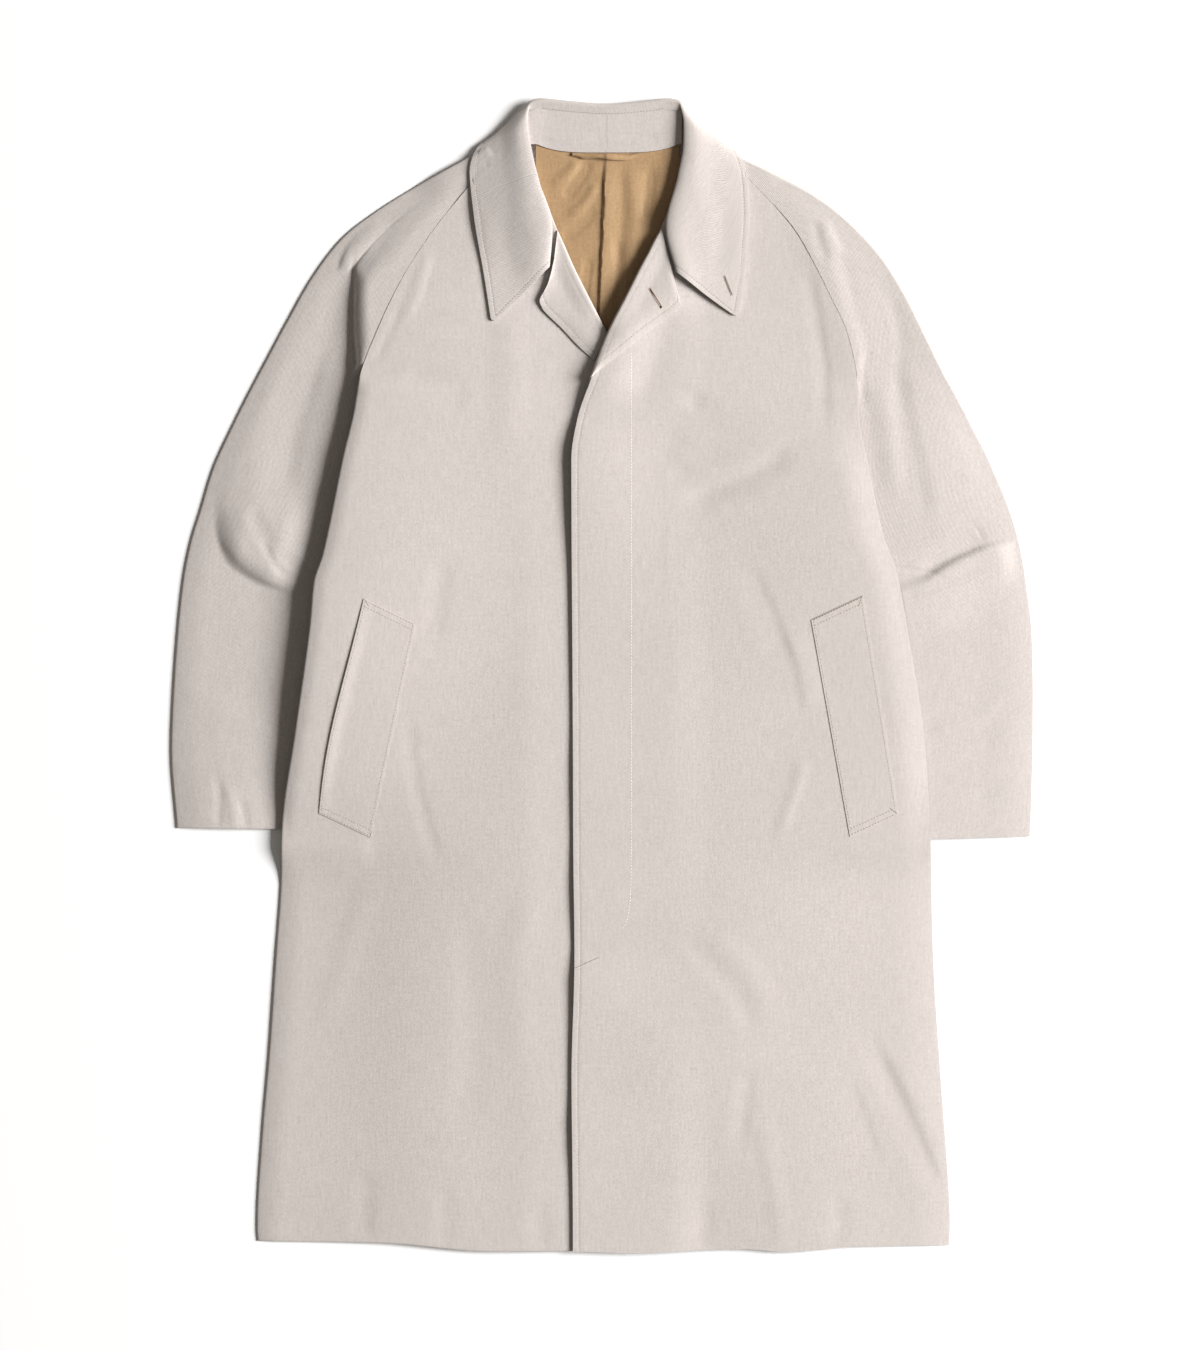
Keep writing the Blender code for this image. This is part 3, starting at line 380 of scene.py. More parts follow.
# Left sleeve: the shoulder fold that faces the light, and the elbow
CREASES["sleeve_front_left"] = named(Crease, [
    LEFT_SHOULDER_FOLD,
    (-0.35, 14, 12, [(268, 372), (284, 328), (282, 290), (289, 250)]),
    (-0.4, 8, 6, [(252, 312), (248, 290), (247, 250)]),
    (0.6, 8, 12, [(211, 437), (217, 418), (226, 398)]),
    (-0.5, 9, 9, [(201, 432), (205, 414), (214, 392)]),
    (-0.5, 4, 4, [(270, 381), (275, 370)]),
    (2.7, (12, 4), 60, [
        (236, 64), (285, 78), (306, 86), (318, 95), (329, 103), (342, 111), (357, 118), (372, 123),
        (430, 134)]),
    (-0.9, 3, 3, [(258, 103), (279, 102), (298, 100), (313, 98), (324, 93)]),
    (-1.0, 26, 5, [(304, 93), (326, 108), (342, 116), (357, 123), (368, 132)]),
    (-0.7, 4, 4, [(352, 142), (360, 135), (363, 126), (375, 126), (390, 126)]),
    (-0.5, 8, 9, [(276, 76), (308, 84), (330, 91), (351, 100), (373, 109)]),
    (0.8, 60, 17, [(288, 304), (299, 260), (308, 222), (317, 180), (323, 138)]),
    (0.6, 14, 18, [(264, 285), (272, 230), (280, 168)]),
    (-0.6, 12, 10, [(395, -66), (376, -104), (352, -120)]),
    (0.5, 14, 14, [(384, -20), (352, -44), (310, -52)]),
])
# Right front: lines below the pocket, across the chest and towards the hem
CREASES["front_right"] = named(Crease, [
    (-0.36, 8, 13, [(-184, -30), (-178, -90), (-168, -135), (-150, -190)]),
    (0.3, 24, 16, [(-217, -177), (-244, -263), (-270, -341)]),
    (-0.48, 20, 24, [(-190, 286), (-156, 274), (-124, 258)]),
    (0.54, 22, 26, [(-90, 360), (-86, 290), (-92, 200)]),
    (-0.48, 16, 18, [(-150, 112), (-156, 74), (-160, 30)]),
    (0.48, 9, 12, [(-165, 408), (-172, 376), (-188, 334)]),
    (-0.3, 7, 7, [(-190, 352), (-204, 322), (-216, 296)]),
    (0.36, 24, 24, [(-60, -190), (-84, -280), (-78, -380)]),
    (-0.36, 26, 22, [(-130, -220), (-124, -330), (-134, -450)]),
    (-0.45, 14, 18, [(-222, -476), (-226, -510), (-224, -546)]),
    (-0.3, 16, 13, [(-152, -482), (-150, -514), (-153, -546)]),
    (-0.38, 15, 17, [(-58, -498), (-60, -520), (-56, -546)]),
])
# Left front: the soft bulge by the fly, the side creases and those that run to the hem
CREASES["front_left"] = named(Crease, [
    LEFT_SHOULDER_FOLD,
    (-0.4, 8, 14, [(194, 398), (204, 340), (211, 290), (213, 220)]),
    (-1.0, 16, 14, [(38, 244), (56, 258), (78, 262), (100, 254)]),
    (-1.3, 16, 18, [(62, 162), (100, 174), (138, 190), (186, 216)]),
    (0.5, 34, 24, [(74, 246), (78, 222), (72, 192)]),
    (0.48, 16, 12, [(60, 226), (63, 100), (60, -40)]),
    (-0.45, 9, 26, [(140, 104), (160, 60), (178, 14)]),
    (-0.42, 9, 12, [(24, 292), (14, 260), (2, 222), (-8, 178)]),
    (0.3, 12, 9, [(14, 296), (4, 268), (-6, 236)]),
    (0.5, 22, 8, [(172, 46), (188, 8), (196, -36)]),
    (0.54, 8, 10, [(192, -76), (184, -108), (166, -154)]),
    (-0.36, 16, 14, [(60, -234), (96, -270), (130, -306), (144, -350)]),
    (0.34, 18, 18, [(96, -240), (136, -276), (166, -326)]),
    (-0.4, 10, 14, [(141, -372), (134, -420), (130, -456)]),
    (0.34, 16, 14, [(150, -410), (160, -470), (172, -546)]),
    (-0.6, 9, 22, [(254, -340), (287, -410), (322, -494)]),
    (0.25, 22, 12, [(270, -350), (300, -410), (330, -480)]),
    (-0.3, 9, 22, [(232, -380), (248, -420), (262, -466)]),
    (-0.4, 14, 17, [(92, -496), (96, -516), (90, -546)]),
    (-0.36, 15, 13, [(222, -492), (226, -520), (218, -546)]),
])
# Neck: the lining's pleat and slack, the stand, and the collar leaves
CREASES["lining_back"] = named(Crease, [
    (1.9, 20, 1.2, [(3.6, 504), (0.5, 420), (-2.6, 343), (-3.0, 306)]),
    (-1.2, 9, 8, [(-12, 490), (-24, 470), (-38, 452)]),
    (0.9, 7, 8, [(-22, 490), (-36, 474), (-50, 466)]),
    (-1.0, 9, 8, [(-6, 446), (-24, 426), (-40, 414)]),
    (0.9, 7, 7, [(-4, 470), (-18, 448), (-34, 436)]),
    (-0.9, 7, 8, [(-12, 400), (-16, 372), (-18, 350)]),
    (1.0, 12, 12, [(26, 490), (30, 440), (24, 380)]),
    (-0.9, 9, 9, [(46, 486), (44, 452), (38, 430)]),
    (-0.7, 8, 8, [(14, 420), (16, 380), (12, 345)]),
])
CREASES["collar_stand"] = named(Crease, [
    (0.5, 5, 5, [(-58, 512), (-30, 509), (-6, 512)]),
    (-0.5, 6, 5, [(14, 510), (36, 513), (56, 510)]),
])
CREASES["collar_fall"] = named(Crease, [
    (0.4, 15, 17, [(-78, 462), (-74, 436), (-63, 404)]),
    (-0.45, 14, 16, [(-96, 440), (-92, 410), (-80, 376)]),
    (0.3, 16, 16, [(92, 470), (98, 432), (92, 392)]),
    (-0.25, 14, 14, [(116, 450), (114, 410), (108, 372)]),
])
# How each crease fades at its ends and changes its reach, and how finely its path is followed
CREASE_TAPER = 0.22
CREASE_END_SHARE = 0.12
CREASE_SMOOTHING = 6
CREASE_WIDTH_CHANGE = (0.3, 0.62)

# Unevenness that lies under all creases: height, and how far apart the swells are
SWELL_HEIGHT = 0.7
SWELL_SPAN = (95.0, 210.0)
SWELL_SEED = {
    "front_left": 3.1,
    "front_right": 7.7,
    "sleeve_front_left": 12.4,
    "sleeve_front_right": 19.2,
    "collar_fall": 23.9,
    "collar_stand": 28.3,
    "lining_back": 31.6,
}

# Close columns and rows along edges, where cloth is turned in and stitched
EDGE_STEPS = (0.0, 0.5, 1.2, 2.2, 3.6, 5.0, 5.8, 6.6, 8.0, 10.5)
EDGE_ROOM = 4.0
EDGE_ROUND = 2.0
EDGE_THIN = {1: 0.95, -1: 0.45}
RIM_ANGLE = math.radians(50.0)
SEWN_WIDTH = 3.0
STITCH_INSET = 5.8
STITCH_DENT = 0.16
STITCH_DENT_HALF = 1.0
STEP = 3.6
BACK_STEP = 2.2 * STEP
SLEEVE_STEP = 2.3
SLEEVE_BACK_STEP = 2.0 * STEP

# Fineness and small shapes of the neck pieces, lapels, welts and collar
LINING_STEP = 2.2
LINING_COLUMNS = 101
LINING_PUFF = 0.3
STAND_STEP = 2.6
STAND_ROWS = 16
LOOP_COLUMNS = 61
LOOP_ROWS = 9
LOOP_TWIST = 0.4
LOOP_TWIST_SPAN = 0.12
LOOP_TWIST_NARROWS = 0.3
LOOP_SWAY = 0.6
LOOP_CROWN = 0.9
LOOP_TILT = 3.0
LOOP_END_SHARE = 0.2
LOOP_END_RISE = 0.5
LOOP_END_NARROWS = 0.4
LAPEL_STEPS = 14
LAPEL_STEP = 2.2
ROLL_OUT = 1.0
ROLL_CLEAR = 0.8
ROLL_DROP = 2.0
ROLL_ROUND = 1.8
WELT_STEP = 2.6
WELT_GAP = 0.1
WELT_SHEET = 0.35
WELT_OPEN = {1: 0.0, -1: 1.0}
WELT_OPEN_WIDTH = 12.0
WELT_BOW = {1: 0.0, -1: 4.5}
WELT_BOW_LOW = 1.6
COLLAR_STEPS = 12
COLLAR_STEP = 2.4
COLLAR_FALL = 100.0
COLLAR_END_SPAN = 37.0
COLLAR_LEAF = 76.0
COLLAR_TIP = 6.0
COLLAR_ROLL_CLEAR = (0.1, 0.3)
COLLAR_SEAM_THIN = 0.15
COLLAR_SEAM_RUN = (0.08, 0.26)

# Stitching: the length of a stitch and the step to the next one
STITCH_RUN = (1.9, 3.0)
TACK_RUN = (1.6, 1.1)
SEAM_RUN = (2.4, 2.0)
# Threads: the width of each and how far it stands out, and where along it it is full
THREAD = (0.6, 0.16)
WELT_THREAD = (0.8, 0.16)
HOLE_THREAD = (0.7, 0.3)
SLIT_SHADE_THREAD = (1.1, 0.42)
THREAD_SHOULDERS = (0.22, 0.78)
# Lines of stitching, the fly's bar tack and the buttonholes
LINE_STEP = 1.5
EDGE_STITCH_TRIM = (4.0, 230.0)
FLY_LINE = [(27.3, 306), (27.3, 60), (27.2, -184), (26.6, -208), (23.0, -233), (18.4, -242)]
BAR_TACK = [(-26.5, -278), (-2.0, -267)]
STAND_LINE = [(-57, 538.9), (-28, 535.8), (4.5, 533.9), (37, 535.8), (60, 538.9)]
LAPEL_HOLE = [(44.6, 367.0), (55.5, 349.4)]
LEAF_HOLE = [(115.6, 379.0), (122.8, 361.0)]
HOLE_PITCH = 0.75
HOLE_HALF = 1.4
HOLE_OPEN = 0.12
EYE_THREADS = 14
EYE_REACH = (0.5, 1.3)
LAPEL_EYE = 1.1
WELT_END_INSETS = (1.4, 6.8)
WELT_SIDE_INSET = 2.2
# Seam lines of the welts: a dark line along the left welt's top end, which is painted shade in the groove
# there, and the mitres at their corners
WELT_SEAMS_AND_SHADE = {
    "left": [
        [(198.9, 52.6), (246.4, 74.9)],
        [(246.5, 75.5), (242.5, 65.0)],
        [(280, -131), (273, -126)],
    ],
    "right": [[(-225.5, 72.5), (-220.5, 64.5)], [(-220.5, -153.5), (-219, -147)]],
}

# Colours and looks of the cloth and the threads
Cloth = namedtuple("Cloth", "shade light roughness sheen twill bump")
GABARDINE = Cloth((0.485, 0.444, 0.424), (0.635, 0.590, 0.568), 0.85, 0.12, 0.5, 0.2)
# The lining's two tones are set darker than its own tan: painted shade of the deep neck where it lies, also
# on the hanger loop made of it
SHADED_LINING_CLOTH = Cloth((0.375, 0.240, 0.127), (0.46, 0.305, 0.168), 0.55, 0.1, 0.3, 0.12)
CLOTH_SPECULAR = 0.25
SHEEN_ROUGHNESS = 0.45
THREAD_COLOURS = {
    "thread": (0.29, 0.25, 0.215),
    # Fly stitching: a thread paler than the cloth, partly the stitching and partly painted highlight on the
    # lit side of the raised fly line
    "fly_thread_highlight": (0.88, 0.83, 0.77),
    "welt_thread": (0.4, 0.35, 0.3),
    "buttonhole_thread": (0.22, 0.12, 0.075),
    # Near-black lines in the lapel buttonhole's opening and across its eye: painted shade
    "slit_shade": (0.03, 0.022, 0.018),
}
THREAD_ROUGHNESS = 0.6
THREAD_SPECULAR = 0.3
PLY_SCALE = 900.0
PLY_SHADES = (0.82, 1.12)

# The weave: its scale per metre of cloth across and along, and its share in the tone and the relief
RIBS = {"Scale": 240.0, "Distortion": 1.2, "Detail Scale": 40.0}
RIB_TURN = math.radians(27.0)
RIB_HEIGHT = 0.6
Yarn = namedtuple("Yarn", "scale detail tone height")
SLUBS = Yarn((420.0, 60.0, 1.0), 2.0, 0.5, 0.5)
PICKS = Yarn((70.0, 420.0, 1.0), 2.0, 0.25, 0.0)
GRAIN = Yarn((520.0, 360.0, 1.0), 1.0, 0.7, 0.4)
DRIFT = Yarn((9.0, 7.0, 1.0), 3.0, 0.25, 0.0)
TONE_RANGE = (0.425, 0.575)
BUMP_DEPTH = 0.0005

# What gives the hanger loop and the collar their heights
UNDER_LOOP = ("lining_back", "collar_stand_left", "collar_stand_right")
UNDER_COLLAR = [part + hand for part in ("front_", "sleeve_front_", "facing_") for hand in SIDES.values()]

# Light and floor, with the lamp's place and size and the floor's half width in metres, and the camera
SKY_STRENGTH = 0.155
SKY_COLOUR = (1.0, 0.925, 0.83)
KEY_PLACE = (8.4, 0.9, 4.1)
KEY_SIZE = (4.6, 3.8)
KEY_POWER = 2210.0
KEY_COLOUR = (1.0, 0.985, 0.965)
FLOOR_HALF = 10.0
FLOOR_LEVEL = -0.4
FLOOR_COLOUR = (0.975, 0.985, 1.0)
FLOOR_ROUGHNESS = 0.9
PIXEL_MM = 0.95
PICTURE_HEIGHT = 1350
PICTURE_CENTRE = (-2.2, 0.5)
LENS = 100.0
SENSOR = 36.0
COAT_LEVEL = 8.0


# Changes, curves and creases
def smooth(low, high, value):
    """Goes from 0 at low to 1 at high with level ends; low may be the larger."""
    part = np.clip((np.asarray(value, float) - low) / (high - low), 0.0, 1.0)
    return part * part * (3.0 - 2.0 * part)


def arched(distance, width):
    """A gentle rise: 0 at an edge, 1 from width inwards, with an even change of slope."""
    part = np.clip(np.asarray(distance, float) / width, 0.0, 1.0)
    return 1.0 - (1.0 - part) ** 2


def rounded(distance, width):
    """A quarter-ellipse shoulder: 0 at an edge, 1 from width inwards."""
    return np.sqrt(arched(distance, width))


def higher(first, second, change):
    """The higher of two levels, with a soft change from one to the other."""
    return (first + second + np.sqrt((first - second) ** 2 + change ** 2)) / 2.0


def through(keys, values, at):
    """A smooth curve through the given rows that never overshoots them."""
    keys, values = np.asarray(keys, float), np.asarray(values, float)
    order = np.argsort(keys)
    keys, values = keys[order], values[order]
    steps = np.diff(keys)
    rises = np.diff(values) / steps
    slopes = np.zeros_like(values)
    same_way = rises[:-1] * rises[1:] > 0
    before, after = steps[1:] + 2 * steps[:-1], 2 * steps[1:] + steps[:-1]
    share = np.where(same_way, before * rises[1:] + after * rises[:-1], 1.0)
    slopes[1:-1] = np.where(same_way, (before + after) * rises[:-1] * rises[1:] / share, 0.0)
    slopes[0], slopes[-1] = rises[0], rises[-1]
    at = np.clip(np.asarray(at, float), keys[0], keys[-1])
    cell = np.clip(np.searchsorted(keys, at) - 1, 0, len(steps) - 1)
    t = (at - keys[cell]) / steps[cell]
    return (
        (1 + 2 * t) * (1 - t) ** 2 * values[cell]
        + t * (1 - t) ** 2 * steps[cell] * slopes[cell]
        + t * t * (3 - 2 * t) * values[cell + 1]
        + t * t * (t - 1) * steps[cell] * slopes[cell + 1]
    )


def column(table, name):
    """One named column of a table."""
    return [getattr(row, name) for row in table]


def from_table(table, key, name, at):
    """One column of a table as a smooth curve over another."""
    return through(column(table, key), column(table, name), at)


def walked(points):
    """The distance from the first of some points to each of them, along the line through them."""
    return np.concatenate([[0.0], np.cumsum(np.linalg.norm(np.diff(points, axis=0), axis=1))])


def curve(points, count):
    """A smooth line of many points through a few."""
    passed = walked(points)
    at = np.linspace(0.0, passed[-1], count)
    return np.stack([through(passed, values, at) for values in zip(*points)], axis=1)


def along_path(x, y, path):
    """Distance to a line, the side of it (1 on the left), and the share of its length passed."""
    passed = walked(path)
    nearest = np.full(np.shape(x), np.inf)
    side, share = np.ones(np.shape(x)), np.zeros(np.shape(x))
    for (ax, ay), (bx, by), start, end in zip(path, path[1:], passed, passed[1:]):
        length = end - start
        t = np.clip(((x - ax) * (bx - ax) + (y - ay) * (by - ay)) / length ** 2, 0.0, 1.0)
        away = np.hypot(x - ax - t * (bx - ax), y - ay - t * (by - ay))
        closer = away < nearest
        nearest = np.where(closer, away, nearest)
        left = (bx - ax) * (y - ay) - (by - ay) * (x - ax) > 0
        side = np.where(closer, np.where(left, 1.0, -1.0), side)
        share = np.where(closer, (start + t * length) / passed[-1], share)
    return nearest, side, share


def crease_height(x, y, crease):
    """How far one crease lifts or sinks each point."""
    path = curve(crease.path, CREASE_SMOOTHING * (len(crease.path) - 1) + 1)
    reach = max(np.max(crease.left), np.max(crease.right))
    low, high = path.min(axis=0) - reach, path.max(axis=0) + reach
    near = (x > low[0]) & (x < high[0]) & (y > low[1]) & (y < high[1])
    away, side, share = along_path(x[near], y[near], path)
    change = smooth(*CREASE_WIDTH_CHANGE, share)
    ends = np.resize(crease.left, 2), np.resize(crease.right, 2)
    left, right = (start + change * (end - start) for start, end in ends)
    reached = np.minimum(away / np.where(side > 0, left, right), 1.0)
    across = np.where((side > 0) & crease.roll, (1.0 - reached) ** 2, 1.0 - smooth(0.0, 1.0, reached))
    along = smooth(0.0, CREASE_TAPER, share) * smooth(1.0, 1.0 - CREASE_TAPER, share)
    height = np.zeros(np.shape(x))
    height[near] = crease.height * across * (CREASE_END_SHARE + (1.0 - CREASE_END_SHARE) * along)
    return height


def swell(sheet, x, y):
    """Slow unevenness of cloth that was put down by hand."""
    across, along = SWELL_SPAN
    places = zip(x.ravel() / across, y.ravel() / along)
    heights = [noise.noise(Vector((u, v, SWELL_SEED[sheet]))) for u, v in places]
    return SWELL_HEIGHT * np.array(heights).reshape(np.shape(x))


def relief(sheet, x, y):
    """All creases of one sheet and its slow unevenness."""
    x, y = np.broadcast_arrays(np.asarray(x, float), np.asarray(y, float))
    return sum((crease_height(x, y, crease) for crease in CREASES[sheet]), swell(sheet, x, y))


# Heights at which the cloth lies
def front_edge(side, name, y):
    """Where the inner or outer edge of a front lies at each level."""
    return from_table(FRONTS[side], "y", name, y)


def side_puff(side, y):
    """Looseness of a front at its side edge."""
    return through(SIDE_PUFF_KEYS, SIDE_PUFF[side], y)


def hidden_puff(side, y):
    """Looseness of a sleeve where it lies under the body."""
    return through(HIDDEN_PUFF_KEYS, HIDDEN_PUFF[side], y)


def on_floor(y):
    """1 below the cuffs, where the body lies on the surface, and 0 above them."""
    return smooth(*SLEEVE_LIFT_FOOT_Y[::-1], y)


def hem_shift(x, y):
    """How far a point near the hem follows the hem's uneven line."""
    return (from_table(HEM, "x", "y", x) - HEM_Y) * (1.0 - smooth(*HEM_BLEND_Y, y))


def collar_lift(x, y):
    """Height given by the back of the collar, which lies folded under the neck."""
    return COLLAR_LIFT * smooth(*COLLAR_LIFT_Y, y) * smooth(*COLLAR_LIFT_X, np.abs(x - NECK_X))


def back_under(x, y):
    """Underside of the back: on the surface, over the sleeves at the sides and over the collar."""
    total = np.zeros(np.shape(x))
    for side in SIDES:
        past_underarm = side * (x - from_table(SLEEVES[side], "inner_y", "inner_x", y))
        to_edge = side * (front_edge(side, "outer", y) - x)
        on_sleeve = SLEEVE_STACK + hidden_puff(side, y)
        lift = on_sleeve * smooth(*SLEEVE_LIFT_FROM_UNDERARM, past_underarm)
        at_edge = side_puff(side, y) - SIDE_GAP
        total = total + lift + np.maximum(at_edge - lift, 0.0) * smooth(SIDE_RISE_WIDTH, 0.0, to_edge)
    length = smooth(*SLEEVE_LIFT_TOP_Y, y) * smooth(*SLEEVE_LIFT_FOOT_Y, y)
    return total * length + collar_lift(x, y)


def body_puff(side, x, y):
    """Height of a front's looseness, closing at the side edge and at the hem."""
    to_edge = side * (front_edge(side, "outer", y) - x)
    at_edge = side_puff(side, y)
    free = EDGE_PUFF[side] * smooth(*FREE_EDGE_Y[side], y) * (1.0 - on_floor(y))
    full = through(BODY_PUFF_KEYS, BODY_PUFF, y)
    free_rise = free * arched(to_edge, EDGE_ROLL[side])
    puff = at_edge + free_rise + (full - at_edge - free) * smooth(0.0, SIDE_RUN, to_edge)
    return puff - (CLOTH + GAP - ON_FLOOR) * (1.0 - arched(to_edge, SIDE_ROUND[side])) * on_floor(y)


def on_back(x, y, puff):
    """Underside of a front that stands loosely over the back, and rests on it where the back is high."""
    resting = higher(back_under(x, y) + SIDE_GAP, puff, SOFT_CHANGE)
    return CLOTH + GAP + resting + (puff - resting) * on_floor(y)


def roll_rise(side, x, y):
    """The front edge lifting towards the line where its top turns back."""
    near = 1.0 - smooth(0.0, ROLL_WIDTH, side * (x - front_edge(side, "inner", y)))
    return ROLL_RISE * near * smooth(*ROLL_START_Y[side], y) * smooth(*ROLL_END_Y, y)


def front_right_under(x, y):
    """Underside of the right front, which sinks where the left one laps over it."""
    puff = body_puff(-1, x, y)
    lapped = smooth(*LAP_SINK_X, x) * smooth(*RIGHT_LAP_TOP_Y, y)
    puff = puff - LAP_SINK * lapped * np.minimum(1.0, puff / LAP_SINK_PUFF)
    return on_back(x, y, puff + relief("front_right", x, y)) + roll_rise(-1, x, y)


def front_left_under(x, y):
    """Underside of the left front, which lies on the right one and rises over its lapel."""
    level = on_back(x, y, body_puff(1, x, y) + relief("front_left", x, y))
    lap = front_right_under(np.minimum(x, RIGHT_EDGE_X), y) + CLOTH + GAP
    lapped = smooth(*LEFT_LAP_END_X, x) * smooth(*LEFT_LAP_TOP_Y, y)
    level = level + np.maximum(lap - level, 0.0) * lapped
    from_edge = x - front_edge(1, "inner", y)
    crossing = smooth(*CROSSING_FOOT_Y, y) * smooth(*CROSSING_TOP_Y, y)
    bump = CROSSING_RISE * crossing * (1.0 - smooth(*CROSSING_FROM_EDGE, from_edge))
    lip = through(EDGE_RISE_KEYS, EDGE_RISE, y) * (1.0 - smooth(0.0, EDGE_RISE_WIDTH, from_edge))
    return level + bump + lip + roll_rise(1, x, y)


# Columns and rows of the panels
def spaced(length, step, first=True, last=True):
    """Distances from 0 to length, even in the middle and close together towards the marked ends."""
    edge = np.array(EDGE_STEPS)
    start = edge if first else np.zeros(1)
    stop = length - edge[::-1] if last else np.array([length])
    count = max(2, round((stop[0] - start[-1]) / step))
    middle = np.linspace(start[-1], stop[0], count + 1)[1:-1]
    return np.concatenate([start, middle, stop])


def across_panel(low, high, step):
    """Columns between two edge lines, with the same spacing by share wherever the panel narrows."""
    width = np.abs(high - low)
    widest = width.max()
    at = spaced(widest, step)
    close = EDGE_STEPS[-1]
    room = np.minimum(1.0, width / (EDGE_ROOM * close))[:, None]
    from_low = np.minimum(at, close) * room
    to_high = (close - np.minimum(widest - at, close)) * room
    inner_share = np.clip((at - close) / (widest - 2 * close), 0.0, 1.0)
    distance = from_low + inner_share * (width[:, None] - 2 * close * room) + to_high
    return low[:, None] + np.sign(high - low)[:, None] * distance


def body_levels(step):
    """Levels of the cross rows of the fronts and the back, close together at the hem."""
    return HEM_Y + spaced(NECK_Y - HEM_Y, step, last=False)


def sleeve_lines(side, step):
    """Inner and outer ends of the rows along a sleeve, from its neck end to its cuff, and its fold."""
    raglan, lower = RAGLANS[side], SLEEVES[side]
    y = NECK_Y - spaced(NECK_Y - lower[-1].inner_y, step, first=False)
    seam_x = front_edge(side, "outer", np.maximum(y, ARMPIT_Y)) + side * SEAM_SHOWN
    armpit_x = float(front_edge(side, "outer", ARMPIT_Y)) + side * SEAM_SHOWN
    under_x = through([ARMPIT_Y] + column(lower, "inner_y"), [armpit_x] + column(lower, "inner_x"), y)
    inner = np.stack([np.where(y >= ARMPIT_Y, seam_x, under_x), y], axis=1)
    keys = column(raglan, "seam_y") + column(lower, "inner_y")
    ends = [column(raglan, name) + column(lower, name) for name in ("outer_x", "outer_y")]
    outer = np.stack([through(keys, values, y) for values in ends], axis=1)
    body = front_edge(side, "outer", y) + side * CLEAR_OF_BODY[side]
    shoulder_x = SHOULDER_FOLD_X[side] + SHOULDER_FOLD_LEAN[side] * smooth(*SHOULDER_FOLD_LEAN_Y, y)
    fold_x = body + (shoulder_x - body) * smooth(*SHOULDER_FOLD_Y, y)
    share = np.clip((fold_x - inner[:, 0]) / (outer[:, 0] - inner[:, 0]), *SLEEVE_FOLD_SHARE)
    return inner, outer, share


def between(start, end, shares):
    """Points on the straight lines between pairs of points, at the given shares of the way."""
    return start[:, None, :] + shares[:, :, None] * (end - start)[:, None, :]


def sleeve_grid(side, step, short=0.0):
    """Points across and along a sleeve, with their distances to its outer line and past its fold."""
    inner, outer, share = sleeve_lines(side, step)
    outer = outer - np.minimum(short / np.hypot(*(outer - inner).T), 0.5)[:, None] * (outer - inner)
    width = np.hypot(*(outer - inner).T)
    across = across_panel(np.zeros(len(width)), width, step) / width[:, None]
    points = between(inner, outer, across)
    to_outer = (1.0 - across) * width[:, None]
    past_fold = (across - share[:, None]) * width[:, None]
    return points[..., 0], points[..., 1], to_outer, past_fold


def sleeve_puff(side, x, y, to_outer, past_fold):
    """Looseness of a sleeve's front half: level with the seam, flat under the body, round outside."""
    raglan = smooth(*SLEEVE_SEAM_Y[side], y)
    hidden = hidden_puff(side, y)
    full = through(SLEEVE_PUFF_KEYS, SLEEVE_PUFF[side], y)
    near = full + (side_puff(side, y) - full) * smooth(*SHOULDER_FADE_Y[side], y)
    if side > 0:
        shoulder = smooth(*SHOULDER_STEP, past_fold)
    else:
        widest, end = SHOULDER_ROLL
        shoulder = 1.0 - rounded(end - past_fold, np.clip(end - past_fold[:, :1], SHOULDER_WALL, widest))
    open_puff = near + (full - near) * shoulder
    laid_puff = hidden + (open_puff - hidden) * smooth(*SLEEVE_PUFF_RUN[side], past_fold)
    puff = laid_puff + (open_puff - laid_puff) * raglan
    clear = raglan + (1.0 - raglan) * smooth(*SLEEVE_FOLD_RUN[side], past_fold)
    folds = relief("sleeve_front_" + SIDES[side], x, y) * clear * smooth(0.0, SLEEVE_RELIEF_RUN, to_outer)
    limit = SLEEVE_RUN_SHARE * to_outer[:, :1]
    keep = SHOULDER_KEEP[side] * smooth(*SHOULDER_KEEP_Y, y) * rounded(to_outer, SHOULDER_WALL)
    rising = smooth(0.0, np.minimum(SLEEVE_RUN[side], limit), to_outer)
    shape = puff * (keep + (1.0 - keep) * rising) + folds
    sinking = 1.0 - arched(to_outer, np.minimum(SLEEVE_ROUND[side], limit))
    low = (CLOTH + GAP - ON_FLOOR) * (1.0 - keep) * sinking
    return higher(collar_lift(x, y) + SLEEVE_LEAST_PUFF, shape, SHARP_CHANGE) - low


# Sheets and their meshes
def arcs(grid, axis):
    """Distance walked along the rows or columns of a grid of points."""
    steps = np.linalg.norm(np.diff(grid, axis=axis), axis=2)
    start = np.zeros_like(np.take(steps, [0], axis=axis))
    return np.concatenate([start, np.cumsum(steps, axis=axis)], axis=axis)


def edge_distance(grid):
    """How far each point of a grid lies from the nearest edge of the sheet."""
    across, along = arcs(grid, 1), arcs(grid, 0)
    return np.minimum.reduce([across, across[:, -1:] - across, along, along[-1:] - along])


def stitch_dent(distance):
    """How far the cloth is drawn in at the stitching, by its distance from the edge."""
    return -STITCH_DENT * (1.0 - smooth(0.0, STITCH_DENT_HALF, np.abs(distance - STITCH_INSET)))


def placed(name, data, location=(0.0, 0.0, 0.0)):
    """A new object in the scene."""
    thing = bpy.data.objects.new(name, data)
    thing.location = location
    bpy.context.scene.collection.objects.link(thing)
    return thing


def smooth_mesh(name, points, faces, material):
    """A smoothly shaded mesh from points in millimetres."""
    data = bpy.data.meshes.new(name)
    data.from_pydata((np.asarray(points) * MM).tolist(), [], faces)
    data.materials.append(material)
    data.shade_smooth()
    return data


